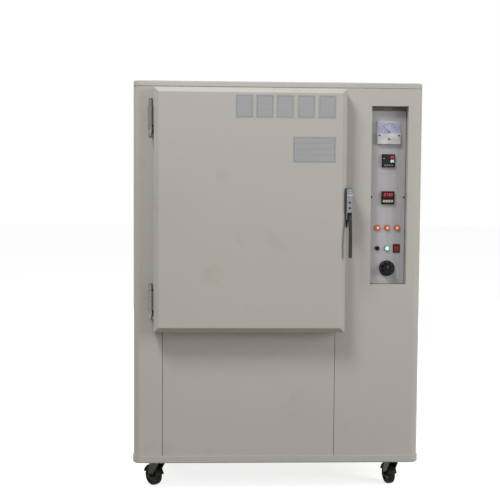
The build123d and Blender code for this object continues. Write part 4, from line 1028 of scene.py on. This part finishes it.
def knob():
    """Black fluted grip and skirt, with a pointer, and pale marks and plain numbers round it."""
    refined("thermostat_knob", black_plastic, 0.35, 2)
    low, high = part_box("thermostat_knob")
    centre = Vector(((low.x + high.x) / 2, high.y - KNOB_SKIRT, (low.z + high.z) / 2))
    marks = []
    for index, angle in enumerate(spread(KNOB_SWEEP, 31)):
        half, length = KNOB_TICK if index % 5 else KNOB_LONG_TICK
        marks.append(tick_form(centre, angle, half, KNOB_RADIUS - length, KNOB_RADIUS))
    formed("knob_marks", joined(marks), "thermostat_knob", print_grey)
    top = Vector((centre.x, low.y, centre.z))
    pointer = box_form(front_point(top, -0.8, 1.0, 0.06), front_point(top, 0.8, 11.0, -0.2))
    formed("knob_pointer", pointer, "thermostat_knob", print_grey)
    for index, angle in enumerate(spread(KNOB_SWEEP, 7)):
        place = scale_point(centre, KNOB_NUMBERS, angle, TYPE_RISE)
        numeral(f"knob_number_{index + 1}", str(50 * index), KNOB_NUMBER_SIZE, place, print_grey,
                "thermostat_knob")


# Casters and rear

def casters():
    refined("caster_plates", zinc, 0.4, 2)
    for corner in CASTERS:
        refined(f"caster_fork_{corner}", caster_black, 0.5, 2)
        caster_wheel(corner)
        caster_hood(corner)


def wheel_axle(corner):
    """A wheel's centre, the direction of its axle, and its radius."""
    node = f"caster_wheel_{corner}"
    low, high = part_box(node)
    axis = next(joint["axis"] for joint in frame["joints"] if joint["child"] == node)
    return (low + high) / 2, Vector(axis).normalized(), (high.z - low.z) / 2


def caster_wheel(corner):
    """Rubber tyre on a black hub with a bearing cap each side."""
    node = f"caster_wheel_{corner}"
    place, axis, radius = wheel_axle(corner)
    half = WHEEL_HALF_WIDTH
    tread = []
    for step in range(13):
        angle = math.radians(90 - 15 * step)
        across = (half - 4.0 * MM) * math.sin(angle)
        crown = 1.2 * MM * (1 - math.cos(angle))
        tread.append((radius - crown, across))
    wall = [(radius - 9.0 * MM, half - 2.0 * MM), (radius - 5.0 * MM, half - 0.6 * MM),
            (radius - 2.6 * MM, half - 2.0 * MM)]
    tyre = wall + tread + [(reach, -across) for reach, across in reversed(wall)]
    form = lathe_form(tyre, place, axis, 96, closed=True)
    formed(f"tyre_{corner}", form, node, tyre_rubber, replaced=[node])
    rim = radius - 8.6 * MM
    bore = 4.1 * MM
    hub = [(bore, half), (9.0 * MM, half), (9.6 * MM, half - 0.8 * MM), (10.4 * MM, half - 5.0 * MM),
           (rim - 4.0 * MM, half - 6.0 * MM), (rim - 1.0 * MM, half - 2.2 * MM), (rim, half - 2.0 * MM)]
    hub += [(reach, -across) for reach, across in reversed(hub)]
    form = lathe_form(hub, place, axis, 64, closed=True)
    formed(f"hub_{corner}", form, node, black_plastic)


def caster_hood(corner):
    """A pressed hood between the fork's legs, over the upper half of the wheel."""
    place, axis, radius = wheel_axle(corner)
    inner = radius + HOOD_CLEARANCE
    shoulder, crown = inner + HOOD_SKIN * 0.6, inner + HOOD_SKIN
    profile = ((inner, -1), (inner, 1), (shoulder, 1), (crown, 0.92), (crown, -0.92), (shoulder, -1))
    across = axis.cross(UP).normalized()
    form = bmesh.new()
    rows = []
    steps = 36
    for step in range(steps + 1):
        angle = math.radians(HOOD_START + (180 - 2 * HOOD_START) * step / steps)
        out = across * math.cos(angle) + UP * math.sin(angle)
        rows.append([form.verts.new(place + out * reach + axis * along * HOOD_HALF_WIDTH)
                     for reach, along in profile])
    for one, two in zip(rows, rows[1:]):
        for index in range(len(one)):
            other = (index + 1) % len(one)
            form.faces.new([one[index], two[index], two[other], one[other]])
    form.faces.new(rows[0])
    form.faces.new(rows[-1][::-1])
    fork = f"caster_fork_{corner}"
    formed(f"caster_hood_{corner}", form, body_of(fork), caster_black)


def rear():
    refined("cable_gland", black_plastic, 0.4, 2)
    louvres()


cabinet()
panel_screws()
chamber()
door()
hinges()
latch()
control_plate()
panel_meter()
temperature_controller()
digital_timer()
lamps()
small_controls()
casters()
rear()


# Stage, lights and camera

def bright_rays(tree):
    """1 for rays from the camera, reflected or let through, and 0 for the others."""
    path = tree.nodes.new("ShaderNodeLightPath")
    total = path.outputs["Is Camera Ray"]
    for kind in ("Is Glossy Ray", "Is Transmission Ray"):
        most = tree.nodes.new("ShaderNodeMath")
        most.operation = "MAXIMUM"
        tree.links.new(total, most.inputs[0])
        tree.links.new(path.outputs[kind], most.inputs[1])
        total = most.outputs[0]
    return total


def stage_material(name, seen, other, lift):
    """Looks pale to the camera and in reflections, and returns less light to the object."""
    material = bpy.data.materials.new(name)
    material.use_nodes = True
    tree = material.node_tree
    tree.nodes.clear()
    output = tree.nodes.new("ShaderNodeOutputMaterial")
    plain = tree.nodes.new("ShaderNodeBsdfDiffuse")
    plain.inputs["Color"].default_value = (*other, 1)
    pale = tree.nodes.new("ShaderNodeBsdfDiffuse")
    pale.inputs["Color"].default_value = (seen, seen, seen, 1)
    glow = tree.nodes.new("ShaderNodeEmission")
    glow.inputs["Strength"].default_value = lift
    add = tree.nodes.new("ShaderNodeAddShader")
    tree.links.new(pale.outputs[0], add.inputs[0])
    tree.links.new(glow.outputs[0], add.inputs[1])
    mix = tree.nodes.new("ShaderNodeMixShader")
    tree.links.new(bright_rays(tree), mix.inputs[0])
    tree.links.new(plain.outputs[0], mix.inputs[1])
    tree.links.new(add.outputs[0], mix.inputs[2])
    tree.links.new(mix.outputs[0], output.inputs["Surface"])
    return material


def floor():
    slab = box_form((-FLOOR_REACH, -FLOOR_REACH, -FLOOR_DEPTH), (FLOOR_REACH, FLOOR_REACH, 0))
    mesh = finished("floor", slab)
    mesh.materials.append(stage_material("pale_floor", FLOOR_SEEN, FLOOR_OTHER, FLOOR_LIFT))
    added("floor", mesh)


def world():
    """White to the camera and in reflections, and a faint even light on the object."""
    scene_world = bpy.data.worlds.new("studio")
    bpy.context.scene.world = scene_world
    scene_world.use_nodes = True
    tree = scene_world.node_tree
    tree.nodes.clear()
    output = tree.nodes.new("ShaderNodeOutputWorld")
    fill = tree.nodes.new("ShaderNodeBackground")
    fill.inputs["Color"].default_value = WORLD_COLOR
    fill.inputs["Strength"].default_value = WORLD_FILL
    white = tree.nodes.new("ShaderNodeBackground")
    white.inputs["Color"].default_value = (1, 1, 1, 1)
    white.inputs["Strength"].default_value = 1.0
    mix = tree.nodes.new("ShaderNodeMixShader")
    tree.links.new(bright_rays(tree), mix.inputs[0])
    tree.links.new(fill.outputs[0], mix.inputs[1])
    tree.links.new(white.outputs[0], mix.inputs[2])
    tree.links.new(mix.outputs[0], output.inputs["Surface"])


def lights():
    target = Vector((LAMP_AIM_X, cabinet_front, LAMP_AIM_Z))
    for name, offset, size, power, color in LAMPS:
        data = bpy.data.lights.new(name, "AREA")
        data.shape = "DISK"
        data.size = size
        data.energy = power
        data.color = color
        made = added(name, data)
        made.location = target + offset
        made.rotation_mode = "QUATERNION"
        made.rotation_quaternion = (-offset).to_track_quat("-Z", "Y")
        made.visible_glossy = False


def camera():
    data = bpy.data.cameras.new("camera")
    data.sensor_width = SENSOR_WIDTH
    data.lens = FOCAL_PIXELS / PHOTO_SIDE * SENSOR_WIDTH
    made = added("camera", data)
    turn = (Matrix.Rotation(CAMERA_YAW, 4, "Z") @ Matrix.Rotation(CAMERA_PITCH + math.pi / 2, 4, "X")
            @ Matrix.Rotation(CAMERA_ROLL, 4, "Z"))
    place = (CAMERA_RIGHT, cabinet_front - CAMERA_AHEAD, tray_foot + CAMERA_RISE)
    made.matrix_world = Matrix.Translation(place) @ turn
    bpy.context.scene.camera = made


floor()
world()
lights()
camera()
bpy.context.scene.view_settings.view_transform = "Standard"
